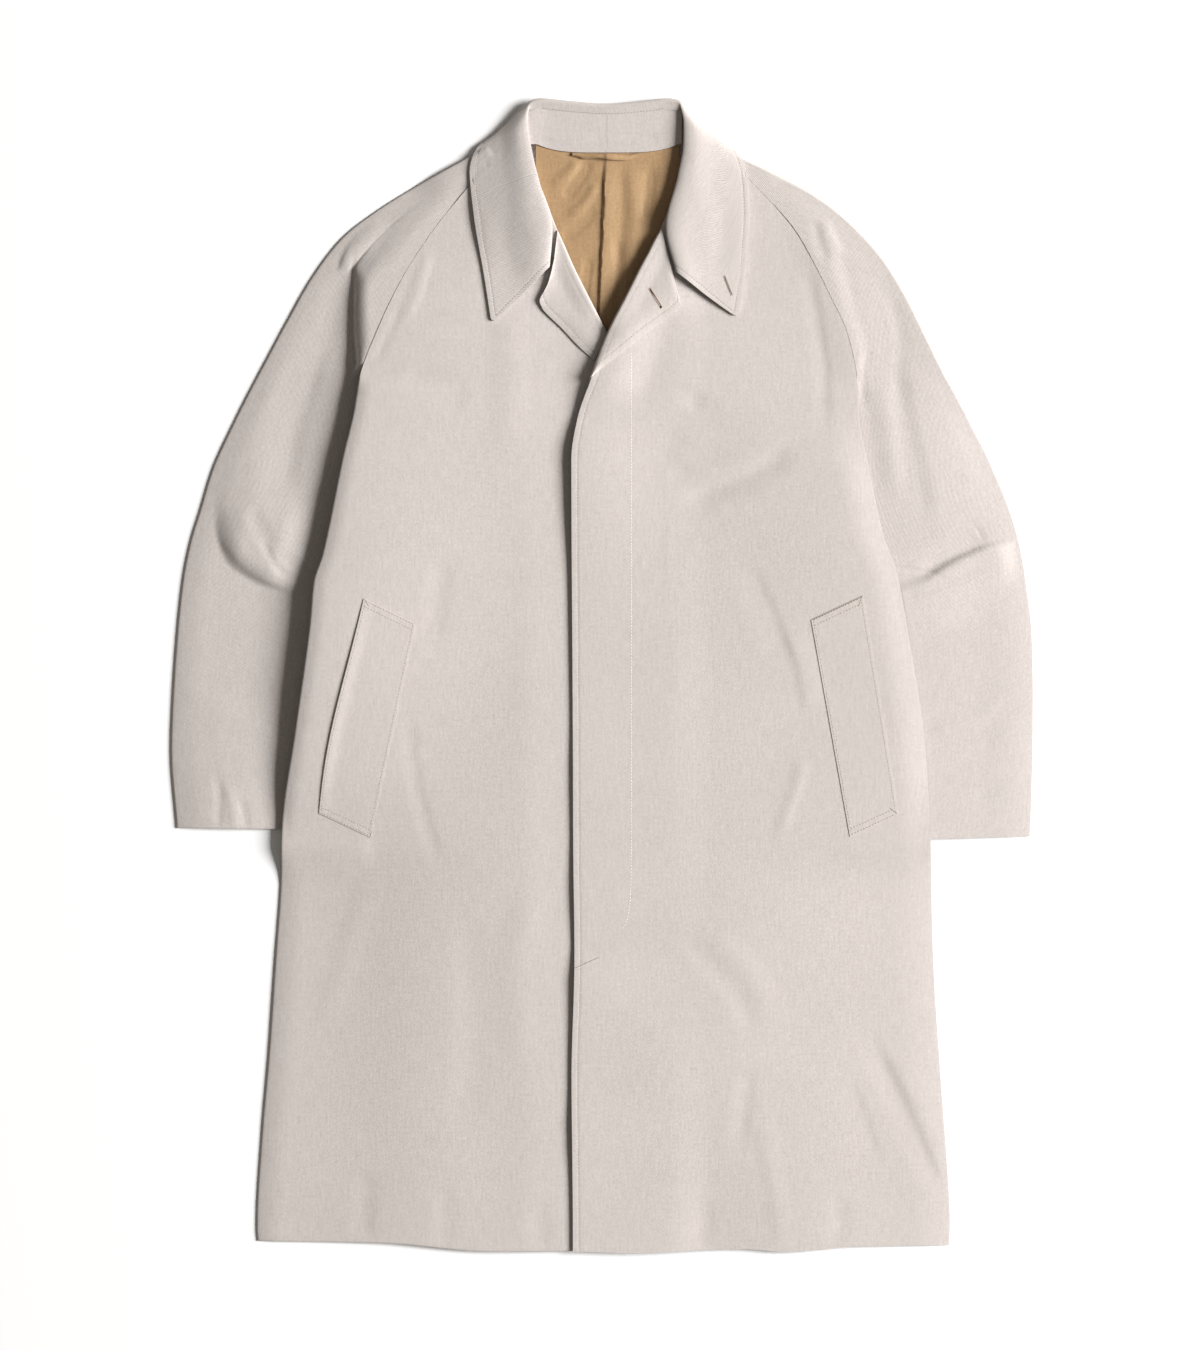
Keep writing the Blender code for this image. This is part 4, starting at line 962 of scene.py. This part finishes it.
def shell(name, lower, upper, uv, material):
    """A closed sheet between two grids of points in millimetres, as a piece that stands for its node."""
    rows, columns = lower.shape[:2]
    count = rows * columns
    index = np.arange(count).reshape(rows, columns)
    under = np.stack([index[:-1, :-1], index[1:, :-1], index[1:, 1:], index[:-1, 1:]], axis=-1).reshape(-1, 4)
    ring = np.concatenate([index[0, :-1], index[:-1, -1], index[-1, :0:-1], index[:0:-1, 0]])
    after = np.roll(ring, -1)
    rim = np.stack([ring, after, after + count, ring + count], axis=-1)
    faces = np.concatenate([under, under[:, ::-1] + count, rim])
    row, place = rows // 2, columns // 2
    corner = lower[row, place]
    square = np.cross(lower[row, place + 1] - corner, lower[row + 1, place] - corner)
    if np.dot(square, upper[row, place] - corner) < 0:
        faces = faces[:, ::-1]
    points = np.concatenate([lower.reshape(-1, 3), upper.reshape(-1, 3)])
    data = smooth_mesh(name, points, faces.tolist(), material)
    data.set_sharp_from_angle(angle=RIM_ANGLE)
    layer = data.uv_layers.new(name="weave")
    corners = np.empty(len(data.loops), dtype=np.int64)
    data.loops.foreach_get("vertex_index", corners)
    flat = np.tile(uv.reshape(-1, 2) * MM, (2, 1))
    layer.data.foreach_set("uv", flat[corners].ravel())
    piece = placed(name + "_cloth", data)
    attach(piece, "root")
    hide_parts(name)
    return piece


def laid(name, x, y, z, thickness, material, uv=None, dent=0.0, sewn=False, side=1):
    """Cloth that lies on what is below it, with rounded edges where it isn't sewn to its neighbour."""
    lower = np.stack(np.broadcast_arrays(x, y, z + dent), axis=2).astype(float)
    least = EDGE_THIN[side]
    thin = np.where(sewn, 1.0, least + (1.0 - least) * rounded(edge_distance(lower), EDGE_ROUND))
    upper = lower.copy()
    upper[..., 2] += thickness * thin
    uv = lower[..., :2] if uv is None else uv
    return shell(name, lower, upper, uv, material), upper


def surfaces(built, *names):
    """The surfaces of some of the pieces built so far, for finding how high they lie."""
    trees = []
    for name in names:
        mesh = built[name][0].data
        points = [vertex.co for vertex in mesh.vertices]
        trees.append(BVHTree.FromPolygons(points, [polygon.vertices for polygon in mesh.polygons]))
    return trees


def top_of(trees, x, y):
    """Height of the uppermost of the surfaces at each point, or 0 beside them."""
    x, y = np.broadcast_arrays(x, y)
    heights = np.zeros(np.shape(x))
    down = Vector((0, 0, -1))
    for index in np.ndindex(np.shape(x)):
        above = Vector((x[index] * MM, y[index] * MM, RAY_FROM))
        for tree in trees:
            hit = tree.ray_cast(above, down)[0]
            if hit is not None:
                heights[index] = max(heights[index], hit.z / MM)
    return heights


# Pieces of the coat
def make_back(cloth):
    """The back panel, a little narrower and shorter than the fronts that cover it."""
    y = body_levels(BACK_STEP)
    low, high = (front_edge(side, "outer", y) - side * BACK_INSET for side in (-1, 1))
    x = across_panel(low, high, BACK_STEP)
    level = np.broadcast_to(y[:, None], x.shape)
    shorter = BACK_HEM_INSET * (1.0 - smooth(*HEM_BLEND_Y, level))
    return laid("back_panel", x, level + hem_shift(x, level) + shorter, back_under(x, level), SHEET, cloth)


def make_front(side, cloth):
    """A front, stitched along its inner edge and sewn to the sleeve above the armpit."""
    y = body_levels(STEP)
    inner, outer = front_edge(side, "inner", y), front_edge(side, "outer", y)
    x = across_panel(*(inner, outer)[::side], STEP)
    level = np.broadcast_to(y[:, None], x.shape)
    z = front_left_under(x, level) if side > 0 else front_right_under(x, level)
    dent = stitch_dent(side * (x - inner[:, None]))
    sewn = (level > ARMPIT_Y) & (side * (outer[:, None] - x) < SEWN_WIDTH)
    y = level + hem_shift(x, level)
    return laid("front_" + SIDES[side], x, y, z, SHEET, cloth, dent=dent, sewn=sewn, side=side)


def sleeve_weave(x, y, to_outer):
    """The place of each point in the cloth of a sleeve, across and along it."""
    return np.stack([to_outer, arcs(np.stack([x, y, 0 * x], axis=2), 0)], axis=2)


def make_sleeve(side, cloth):
    """The back and the front half of a raglan sleeve."""
    x, y, to_outer = sleeve_grid(side, SLEEVE_BACK_STEP, BACK_INSET)[:3]
    weave = sleeve_weave(x, y, to_outer)
    back = laid("sleeve_back_" + SIDES[side], x, y, collar_lift(x, y), SHEET, cloth, weave)
    x, y, to_outer, past_fold = sleeve_grid(side, SLEEVE_STEP)
    weave = sleeve_weave(x, y, to_outer)
    z = np.maximum(CLOTH + GAP + sleeve_puff(side, x, y, to_outer, past_fold), ON_FLOOR)
    sewn = (y > ARMPIT_Y) & (to_outer[:, :1] - to_outer < SEWN_WIDTH)
    front = laid("sleeve_front_" + SIDES[side], x, y, z, SHEET, cloth, weave, sewn=sewn, side=side)
    return back, front


def neck_line(x):
    """The neck seam, where the lining meets the collar stand."""
    return NECK_SEAM_Y + NECK_CURVE * np.clip(np.abs(x - NECK_X) / NECK_SPAN, 0.0, 1.0) ** NECK_CURVE_POWER


def make_lining(below, cloth):
    """The part of the back lining that shows in the neck, with its centre pleat."""
    level = LINING_FOOT_Y + spaced(NECK_Y - LINING_FOOT_Y, LINING_STEP)
    low = np.maximum(front_edge(-1, "inner", level) - LINING_TUCK, NECK_X - LINING_HALF)
    high = np.minimum(front_edge(1, "inner", level) + LINING_TUCK, NECK_X + LINING_HALF)
    x = low[:, None] + (high - low)[:, None] * np.linspace(0.0, 1.0, LINING_COLUMNS)
    rise = (level - LINING_FOOT_Y) / (NECK_Y - LINING_FOOT_Y)
    y = LINING_FOOT_Y + rise[:, None] * (neck_line(x) - LINING_FOOT_Y)
    z = back_under(x, y) + CLOTH + GAP + LINING_PUFF + relief("lining_back", x, y)
    z = np.maximum(z, top_of(below, x, y) + GAP)
    return laid("lining_back", x, y, z, LINING, cloth)


def make_stand(side, cloth):
    """Half of the collar stand, from the neck seam up to the collar fold."""
    reach = spaced(STAND_REACH[side] - STAND_SEAM, STAND_STEP)
    x = np.tile(np.sort(NECK_SEAM_X + side * (reach + STAND_SEAM)), (STAND_ROWS, 1))
    up = np.linspace(0.0, 1.0, STAND_ROWS)[:, None]
    foot = neck_line(x) + SEAM
    crests = np.array([station.crest for station in COLLAR_STATIONS if station.wrap > COLLAR_BEHIND])
    head = through(crests[:, 0], crests[:, 1], x) - COLLAR_INSIDE[0] + STAND_TUCK
    y = foot + up * (head - foot)
    to_end = STAND_REACH[side] - side * (x - NECK_SEAM_X)
    curl = STAND_CURL[side] * smooth(STAND_CURL_WIDTH, 0.0, to_end)
    z = STAND_FOOT_Z + (STAND_HEAD_Z - STAND_FOOT_Z) * up + curl + relief("collar_stand", x, y)
    return laid("collar_stand_" + SIDES[side], x, y, z, CLOTH, cloth, sewn=True)


def make_loop(below, cloth):
    """The hanger loop: a narrow twisted strip over the neck seam, held at its ends."""
    x = np.tile(np.linspace(LOOP_FROM_X, LOOP_TO_X, LOOP_COLUMNS), (LOOP_ROWS, 1))
    along = (x - LOOP_FROM_X) / (LOOP_TO_X - LOOP_FROM_X)
    twist = np.exp(-(((along - LOOP_TWIST) / LOOP_TWIST_SPAN) ** 2))
    across = np.linspace(-0.5, 0.5, LOOP_ROWS)[:, None]
    turned_up = 1.0 - smooth(0.0, LOOP_END_SHARE, along) * smooth(1.0, 1.0 - LOOP_END_SHARE, along)
    width = LOOP_WIDTH * (1.0 - LOOP_TWIST_NARROWS * twist) * (1.0 - LOOP_END_NARROWS * turned_up)
    drop = LOOP_DROP * (1.0 - LOOP_END_RISE * turned_up)
    y = neck_line(x) - drop + LOOP_SWAY * np.sin(2 * np.pi * along) + across * width
    lying = top_of(below, x, y) + GAP
    crown = LOOP_CROWN * (1.0 - (2.0 * across) ** 2)
    tilt = LOOP_TILT * across * (0.5 - along) * np.sin(np.pi * along)
    z = lying.max(axis=0) + LOOP_RISE * np.sin(np.pi * along) ** 2 + crown + tilt
    return laid("hanger_loop", x, y, z, LOOP_SHEET, cloth)


def make_facing(side, below, cloth):
    """The turned-back top of a front edge, rolling over it and lying on its front."""
    count = len(LAPELS[side])
    station = np.linspace(0, count - 1, LAPEL_STEPS * (count - 1) + 1)
    lines = [through(range(count), values, station) for values in zip(*LAPELS[side])]
    roll_x, roll_y, edge_x, edge_y = lines
    roll = np.stack([roll_x - side * ROLL_OUT, roll_y], axis=1)
    edge = np.stack([edge_x, edge_y], axis=1)
    width = np.hypot(*(edge - roll).T)
    distance = across_panel(np.zeros(len(width)), width, LAPEL_STEP)
    across = distance / width[:, None]
    points = between(roll, edge, across)
    x, y = points[..., 0], points[..., 1]
    inner = front_edge(side, "inner", y)
    resting = top_of(below, np.where(side * (x - inner) > ROLL_CLEAR, x, inner + side * ROLL_CLEAR), y)
    drop = ROLL_DROP * (1.0 - rounded(distance, ROLL_ROUND))
    towards_neck = smooth(LAPEL_RISE_TO[side], 0.0, station)[:, None]
    rise = LAPEL_RISE[side] * towards_neck * smooth(*LAPEL_RISE_ACROSS, across)
    z = resting + GAP + LAPEL_CROWN * np.sin(np.pi * across) - drop + rise
    return laid("facing_" + SIDES[side], x, y, z, SHEET, cloth, dent=stitch_dent(width[:, None] - distance))


def make_welt(side, below, cloth):
    """A slanted pocket welt that lies on its front."""
    top_inner, top_outer, foot_outer, foot_inner = np.array(WELTS[side], float)
    length = np.linalg.norm(foot_inner - top_inner)
    width = np.linalg.norm(top_outer - top_inner)
    down = (spaced(length, WELT_STEP) / length)[:, None, None]
    across = (spaced(width, WELT_STEP) / width)[None, :, None]
    top = top_inner + across * (top_outer - top_inner)
    foot = foot_inner + across * (foot_outer - foot_inner)
    bow = WELT_BOW[side] * np.sin(np.pi * down ** WELT_BOW_LOW) * across
    points = top + down * (foot - top) + bow * (top_outer - top_inner) / width
    x, y = points[..., 0], points[..., 1]
    open_edge = smooth(width - WELT_OPEN_WIDTH, width, across[..., 0] * width)
    rise = WELT_OPEN[side] * open_edge * np.sqrt(np.sin(np.pi * down[..., 0]))
    return laid("welt_" + SIDES[side], x, y, top_of(below, x, y) + WELT_GAP + rise, WELT_SHEET, cloth)


def collar_section(station):
    """Five points across the collar: seam, crest, over the fold, along the fall, outer edge."""
    crest, reach, edge = (np.array(point, float) for point in (station.crest, station.reach, station.edge))
    radial = np.array([crest[0] - NECK_X, NECK_FLATNESS * (crest[1] - NECK_CENTRE_Y), 0.0])
    behind, up = np.array([0.0, 1.0, 0.0]), np.array([0.0, 0.0, 1.0])
    out = (1.0 - station.wrap) * radial / np.linalg.norm(radial) + station.wrap * behind
    out = out / np.linalg.norm(out)
    under = crest + COLLAR_TUCK[0] * out - COLLAR_TUCK[1] * up
    inside = crest - COLLAR_INSIDE[0] * out - COLLAR_INSIDE[1] * up
    seam = under + smooth(*COLLAR_TURN_IN, station.wrap) * (inside - under)
    on_top = crest + COLLAR_CROWN_SHARE * (reach - crest) + COLLAR_CROWN * up
    round_back = crest + COLLAR_FOLD_OUT * out - COLLAR_FOLD_SHARE * (crest[2] - reach[2]) * up
    turn = on_top + smooth(*COLLAR_TURN_BACK, station.wrap) * (round_back - on_top)
    return np.stack([seam, crest, turn, reach, edge])


def grid_normals(grid):
    """Directions square to a grid of points, on the side where its rows and columns turn left."""
    normal = np.cross(np.gradient(grid, axis=1), np.gradient(grid, axis=0))
    return normal / np.linalg.norm(normal, axis=2, keepdims=True)


def make_collar(below, cloth):
    """The collar fall in one piece: leaf, roll round the neck, and leaf."""
    sections = np.stack([collar_section(station) for station in COLLAR_STATIONS])
    last = len(COLLAR_STATIONS) - 1
    keys = range(last + 1)
    close = np.array(EDGE_STEPS) / COLLAR_END_SPAN
    middle = np.linspace(close[-1], last - close[-1], COLLAR_STEPS * last)
    station = np.concatenate([close, middle[1:-1], last - close[::-1]])
    across = spaced(COLLAR_FALL, COLLAR_STEP) / COLLAR_FALL
    to_end = np.minimum(station, last - station) * COLLAR_END_SPAN
    tip = COLLAR_TIP / COLLAR_LEAF * (1.0 - rounded(to_end, COLLAR_TIP))
    lower = np.empty((len(station), len(across), 3))
    for axis in range(3):
        lines = np.stack([through(keys, sections[:, k, axis], station) for k in range(len(COLLAR_SHARES))])
        for row in range(len(station)):
            lower[row, :, axis] = through(COLLAR_SHARES, lines[:, row], across * (1.0 - tip[row]))
    on_front = through(keys, column(COLLAR_STATIONS, "wrap"), station)[:, None] < COLLAR_ON_COAT
    x, y, z = (lower[..., axis] for axis in range(3))
    resting = top_of(below, x, y) + GAP + COLLAR * smooth(*COLLAR_UNDER_ROLL, across)
    lower[..., 2] = np.where(on_front, higher(z, resting, COLLAR_SETTLE), np.maximum(z, COLLAR))
    across_arc, along_arc = arcs(lower, 1), arcs(lower, 0)
    to_edge = np.minimum(across_arc[:, -1:] - across_arc, np.minimum(along_arc, along_arc[-1:] - along_arc))
    lower[..., 2] += relief("collar_fall", x, y) * smooth(*COLLAR_ROLL_CLEAR, across)
    lower[..., 2] += stitch_dent(to_edge) * on_front
    normal = grid_normals(lower)
    upward = np.sign(normal[0, -1, 2])
    thin = EDGE_THIN[1] + (1.0 - EDGE_THIN[1]) * rounded(edge_distance(lower), EDGE_ROUND)
    thin = thin * (COLLAR_SEAM_THIN + (1.0 - COLLAR_SEAM_THIN) * smooth(*COLLAR_SEAM_RUN, across))
    upper = lower + upward * normal * (COLLAR_SHEET * thin)[..., None]
    return shell("collar_fall", lower, upper, np.stack([along_arc, across_arc], axis=2), cloth), upper


# Threads and stitching
def threads(name, runs, material, size=THREAD):
    """Short threads, each a slim spindle between two points in millimetres, joined in one piece."""
    width, rise = size
    up = np.array([0.0, 0.0, 1.0])
    points, faces = [], []
    for start, end in runs:
        side = np.cross(end - start, up)
        side = side / np.linalg.norm(side) * width / 2.0
        first = len(points)
        points.append(start)
        for share in THREAD_SHOULDERS:
            at = start + share * (end - start)
            points += [at + side, at + rise * up, at - side, at - rise * up]
        points.append(end)
        for near, far in ((1, 2), (2, 3), (3, 4), (4, 1)):
            faces.append((first, first + near, first + far))
            faces.append((first + near, first + near + 4, first + far + 4, first + far))
            faces.append((first + 9, first + far + 4, first + near + 4))
    piece = placed(name, smooth_mesh(name, points, faces, material))
    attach(piece, "root")
    return piece


def points_at(line, at):
    """The points of a line at given distances from its start."""
    passed = walked(line)
    return np.stack([np.interp(at, passed, line[:, k]) for k in range(3)], axis=1)


def stitch_runs(line, length, pitch):
    """The stitches along a line of points, one after the other."""
    starts = np.arange(0.0, walked(line)[-1] - length, pitch)
    return list(zip(points_at(line, starts), points_at(line, starts + length)))


def stitched(name, lines, material, size=THREAD, run=STITCH_RUN):
    """The stitches along some lines, as one piece."""
    return threads(name, [stitch for line in lines for stitch in stitch_runs(line, *run)], material, size)


def inset_line(grid, inset, trim=(0.0, 0.0)):
    """The line on a grid that keeps a distance from its last column, cut short at its ends."""
    line = np.concatenate([points_at(row, [walked(row)[-1] - inset]) for row in grid])
    return points_at(line, np.linspace(trim[0], walked(line)[-1] - trim[1], len(line)))


def on_surface(built, name, path, step=LINE_STEP):
    """A line drawn on the top of a piece."""
    flat = curve(path, max(3, int(walked(path)[-1] / step)))
    return np.column_stack([flat, top_of(surfaces(built, name), *flat.T)])


def buttonhole(name, line, edge_thread, slit_shade_thread, eye=0.0):
    """A worked buttonhole: close threads across its two sides, a near-black line between them as painted
    shade in its opening, and a round eye with painted shade across its hole.
    """
    start, end = line[0], line[-1]
    way = (end - start) / np.linalg.norm(end - start)
    across = np.cross(way, (0.0, 0.0, 1.0))
    runs = []
    for point in line:
        for side in (HOLE_HALF * across, -HOLE_HALF * across):
            runs.append((point + HOLE_OPEN * side, point + side))
    # The dark line along the buttonhole's opening is painted shade
    cuts = [(start, end)]
    if eye:
        for turn in np.linspace(0.0, 2.0 * np.pi, EYE_THREADS, endpoint=False):
            ray = eye * (math.cos(turn) * way + math.sin(turn) * across)
            runs.append(tuple(end + reach * ray for reach in EYE_REACH))
        # Dark lines across the eye are painted shade in its hole
        cuts += [(end - eye * ray, end + eye * ray) for ray in (way, across, way + across, way - across)]
    worked = threads(name + "_worked", runs, edge_thread, HOLE_THREAD)
    slit_shade = threads(name + "_slit", cuts, slit_shade_thread, SLIT_SHADE_THREAD)
    return [worked, slit_shade]


# Materials, light and camera
def new_material(name, inputs):
    """A material with the given values in its shader."""
    made = bpy.data.materials.new(name)
    made.use_nodes = True
    for key, value in inputs.items():
        made.node_tree.nodes["Principled BSDF"].inputs[key].default_value = value
    return made


def tint(made, value, dark, light):
    """Colours a material between two shades, by a value from one of its nodes."""
    nodes, links = made.node_tree.nodes, made.node_tree.links
    blend = nodes.new("ShaderNodeMix")
    blend.data_type = "RGBA"
    blend.inputs["A"].default_value = (*dark, 1.0)
    blend.inputs["B"].default_value = (*light, 1.0)
    links.new(value, blend.inputs["Factor"])
    links.new(blend.outputs["Result"], nodes["Principled BSDF"].inputs["Base Color"])


def cloth_material(name, cloth):
    """Woven cloth: fine diagonal ribs, slubs along the warp and a slow drift between two shades."""
    made = new_material(name, {
        "Roughness": cloth.roughness,
        "Specular IOR Level": CLOTH_SPECULAR,
        "Sheen Weight": cloth.sheen,
        "Sheen Roughness": SHEEN_ROUGHNESS,
    })
    nodes, links = made.node_tree.nodes, made.node_tree.links
    weave = nodes.new("ShaderNodeUVMap")
    weave.uv_map = "weave"

    def textured(kind, scale, turn, inputs):
        """A texture on the cloth, scaled and turned."""
        mapping = nodes.new("ShaderNodeMapping")
        mapping.inputs["Scale"].default_value = scale
        mapping.inputs["Rotation"].default_value = (0.0, 0.0, turn)
        links.new(weave.outputs["UV"], mapping.inputs["Vector"])
        texture = nodes.new(kind)
        for key, value in inputs.items():
            texture.inputs[key].default_value = value
        links.new(mapping.outputs["Vector"], texture.inputs["Vector"])
        return texture.outputs["Fac"]

    def mixed(parts):
        """The sum of some values, each times its share."""
        total = None
        for value, share in parts:
            weigh = nodes.new("ShaderNodeMath")
            weigh.operation = "MULTIPLY_ADD"
            links.new(value, weigh.inputs[0])
            weigh.inputs[1].default_value = share
            weigh.inputs[2].default_value = 0.0
            if total is not None:
                links.new(total, weigh.inputs[2])
            total = weigh.outputs[0]
        return total

    ribs = textured("ShaderNodeTexWave", (1.0, 1.0, 1.0), RIB_TURN, RIBS)
    tones, heights = [(ribs, cloth.twill)], [(ribs, RIB_HEIGHT)]
    for yarn in (SLUBS, PICKS, GRAIN, DRIFT):
        value = textured("ShaderNodeTexNoise", yarn.scale, 0.0, {"Scale": 1.0, "Detail": yarn.detail})
        tones.append((value, yarn.tone))
        if yarn.height:
            heights.append((value, yarn.height))
    full = sum(share for value, share in tones)
    spread = nodes.new("ShaderNodeMapRange")
    spread.inputs["From Min"].default_value = TONE_RANGE[0] * full
    spread.inputs["From Max"].default_value = TONE_RANGE[1] * full
    links.new(mixed(tones), spread.inputs["Value"])
    tint(made, spread.outputs["Result"], cloth.shade, cloth.light)
    bump = nodes.new("ShaderNodeBump")
    bump.inputs["Strength"].default_value = cloth.bump
    bump.inputs["Distance"].default_value = BUMP_DEPTH
    links.new(mixed(heights), bump.inputs["Height"])
    links.new(bump.outputs["Normal"], nodes["Principled BSDF"].inputs["Normal"])
    return made


def thread_material(name, colour):
    """Sewing thread with the twist of its plies."""
    made = new_material(name, {"Roughness": THREAD_ROUGHNESS, "Specular IOR Level": THREAD_SPECULAR})
    nodes, links = made.node_tree.nodes, made.node_tree.links
    place = nodes.new("ShaderNodeTexCoord")
    plies = nodes.new("ShaderNodeTexNoise")
    plies.inputs["Scale"].default_value = PLY_SCALE
    links.new(place.outputs["Object"], plies.inputs["Vector"])
    dark, light = ([share * part for part in colour] for share in PLY_SHADES)
    tint(made, plies.outputs["Fac"], dark, light)
    return made


def make_studio():
    """White floor, even light all round, one large soft light from the right, and the camera above."""
    scene = bpy.context.scene
    scene.view_settings.view_transform = "Standard"
    world = bpy.data.worlds.new("studio")
    world.use_nodes = True
    sky = world.node_tree.nodes["Background"]
    sky.inputs["Color"].default_value = (*SKY_COLOUR, 1.0)
    sky.inputs["Strength"].default_value = SKY_STRENGTH
    scene.world = world
    lamp = bpy.data.lights.new("key", "AREA")
    lamp.shape = "RECTANGLE"
    lamp.size, lamp.size_y = KEY_SIZE
    lamp.energy = KEY_POWER
    lamp.color = KEY_COLOUR
    towards_coat = -Vector(KEY_PLACE)
    placed("key", lamp, KEY_PLACE).rotation_euler = towards_coat.to_track_quat("-Z", "Y").to_euler()
    data = bpy.data.meshes.new("floor")
    corners = ((-1, -1), (1, -1), (1, 1), (-1, 1))
    data.from_pydata([(FLOOR_HALF * x, FLOOR_HALF * y, 0.0) for x, y in corners], [], [(0, 1, 2, 3)])
    paper = {"Base Color": (*FLOOR_COLOUR, 1.0), "Roughness": FLOOR_ROUGHNESS}
    data.materials.append(new_material("floor_paper", paper))
    floor = placed("floor", data, (0.0, 0.0, FLOOR_LEVEL * MM))
    camera = bpy.data.cameras.new("camera")
    camera.lens = LENS
    camera.sensor_width = SENSOR
    distance = PICTURE_HEIGHT * PIXEL_MM * LENS / SENSOR + COAT_LEVEL
    scene.camera = placed("camera", camera, [MM * part for part in (*PICTURE_CENTRE, distance)])


def sew_collar(built, thread):
    """Stitching along the edges of the collar and its stand, and the leaf's buttonhole."""
    collar = built["collar_fall"][1]
    third, turned = len(collar) // 3, collar.transpose(1, 0, 2)
    lines = [
        inset_line(collar[:third], STITCH_INSET, (STITCH_INSET, 0.0)),
        inset_line(collar[-third:], STITCH_INSET, (0.0, STITCH_INSET)),
        inset_line(turned[:, ::-1], STITCH_INSET, (STITCH_INSET, STITCH_INSET)),
        inset_line(turned, STITCH_INSET, (STITCH_INSET, STITCH_INSET)),
        on_surface(built, "collar_fall", STAND_LINE),
    ]
    sewn = [stitched("collar_stitching", lines, thread["thread"])]
    hole = on_surface(built, "collar_fall", LEAF_HOLE, HOLE_PITCH)
    return sewn + buttonhole("leaf_buttonhole", hole, thread["thread"], thread["thread"])


def sew_front(built, thread):
    """Stitching along the left front's edge and fly, and the bar tack at its foot."""
    edge = inset_line(built["front_left"][1][:, ::-1], STITCH_INSET, EDGE_STITCH_TRIM)
    fly = on_surface(built, "front_left", FLY_LINE)
    tack = on_surface(built, "front_left", BAR_TACK)
    runs = stitch_runs(edge, *STITCH_RUN) + stitch_runs(tack, *TACK_RUN)
    stitching = threads("front_stitching", runs, thread["thread"])
    # The fly's pale thread paints the highlight on the lit side of its raised line
    return [stitching, stitched("fly_stitching", [fly], thread["fly_thread_highlight"])]


def sew_welt(hand, built, thread):
    """Stitching along the edges of a welt, and the seam lines at its end and corners; the dark line at the
    left welt's top end is painted shade in the groove there.
    """
    welt = built["welt_" + hand][1]
    turned = welt.transpose(1, 0, 2)
    side_trim = (WELT_SIDE_INSET, WELT_SIDE_INSET)
    lines = [inset_line(grid, WELT_SIDE_INSET, side_trim) for grid in (welt, welt[:, ::-1])]
    for grid in (turned, turned[:, ::-1]):
        lines += [inset_line(grid, inset, side_trim) for inset in WELT_END_INSETS]
    seams_and_shade = [on_surface(built, "welt_" + hand, path) for path in WELT_SEAMS_AND_SHADE[hand]]
    stitching = stitched("welt_stitching_" + hand, lines, thread["welt_thread"], WELT_THREAD)
    return [stitching, stitched("welt_seams_and_shade_" + hand, seams_and_shade, thread["thread"], WELT_THREAD, SEAM_RUN)]


def sew(built, thread):
    """All stitching and the buttonholes, as threads on the pieces that carry them."""
    sewn = {"collar_fall": sew_collar(built, thread)}
    for hand in SIDES.values():
        line = inset_line(built["facing_" + hand][1], STITCH_INSET)
        sewn["facing_" + hand] = [stitched("lapel_stitching_" + hand, [line], thread["thread"])]
    hole = on_surface(built, "facing_left", LAPEL_HOLE, HOLE_PITCH)
    threads_of_hole = thread["buttonhole_thread"], thread["slit_shade"]
    sewn["facing_left"] += buttonhole("lapel_buttonhole", hole, *threads_of_hole, LAPEL_EYE)
    sewn["front_left"] = sew_front(built, thread)
    for hand in SIDES.values():
        sewn["welt_" + hand] = sew_welt(hand, built, thread)
    return sewn


def main():
    """Builds the studio and the coat from the floor up, and its stitching."""
    make_studio()
    shell_cloth = cloth_material("gabardine", GABARDINE)
    # The lining cloth carries painted shade of the neck in its colours
    shaded_lining_cloth = cloth_material("lining", SHADED_LINING_CLOTH)
    thread = {name: thread_material(name, colour) for name, colour in THREAD_COLOURS.items()}
    built = {"back_panel": make_back(shell_cloth)}
    for side, hand in SIDES.items():
        built["sleeve_back_" + hand], built["sleeve_front_" + hand] = make_sleeve(side, shell_cloth)
        built["front_" + hand] = make_front(side, shell_cloth)
    built["lining_back"] = make_lining(surfaces(built, "back_panel"), shaded_lining_cloth)
    for side, hand in SIDES.items():
        built["collar_stand_" + hand] = make_stand(side, shell_cloth)
    built["hanger_loop"] = make_loop(surfaces(built, *UNDER_LOOP), shaded_lining_cloth)
    for side, hand in SIDES.items():
        front = surfaces(built, "front_" + hand)
        built["facing_" + hand] = make_facing(side, front, shell_cloth)
        built["welt_" + hand] = make_welt(side, front, shell_cloth)
    built["collar_fall"] = make_collar(surfaces(built, *UNDER_COLLAR), shell_cloth)
    sewn = sew(built, thread)
    sewn["lining_back"] = [built["hanger_loop"][0]]


main()
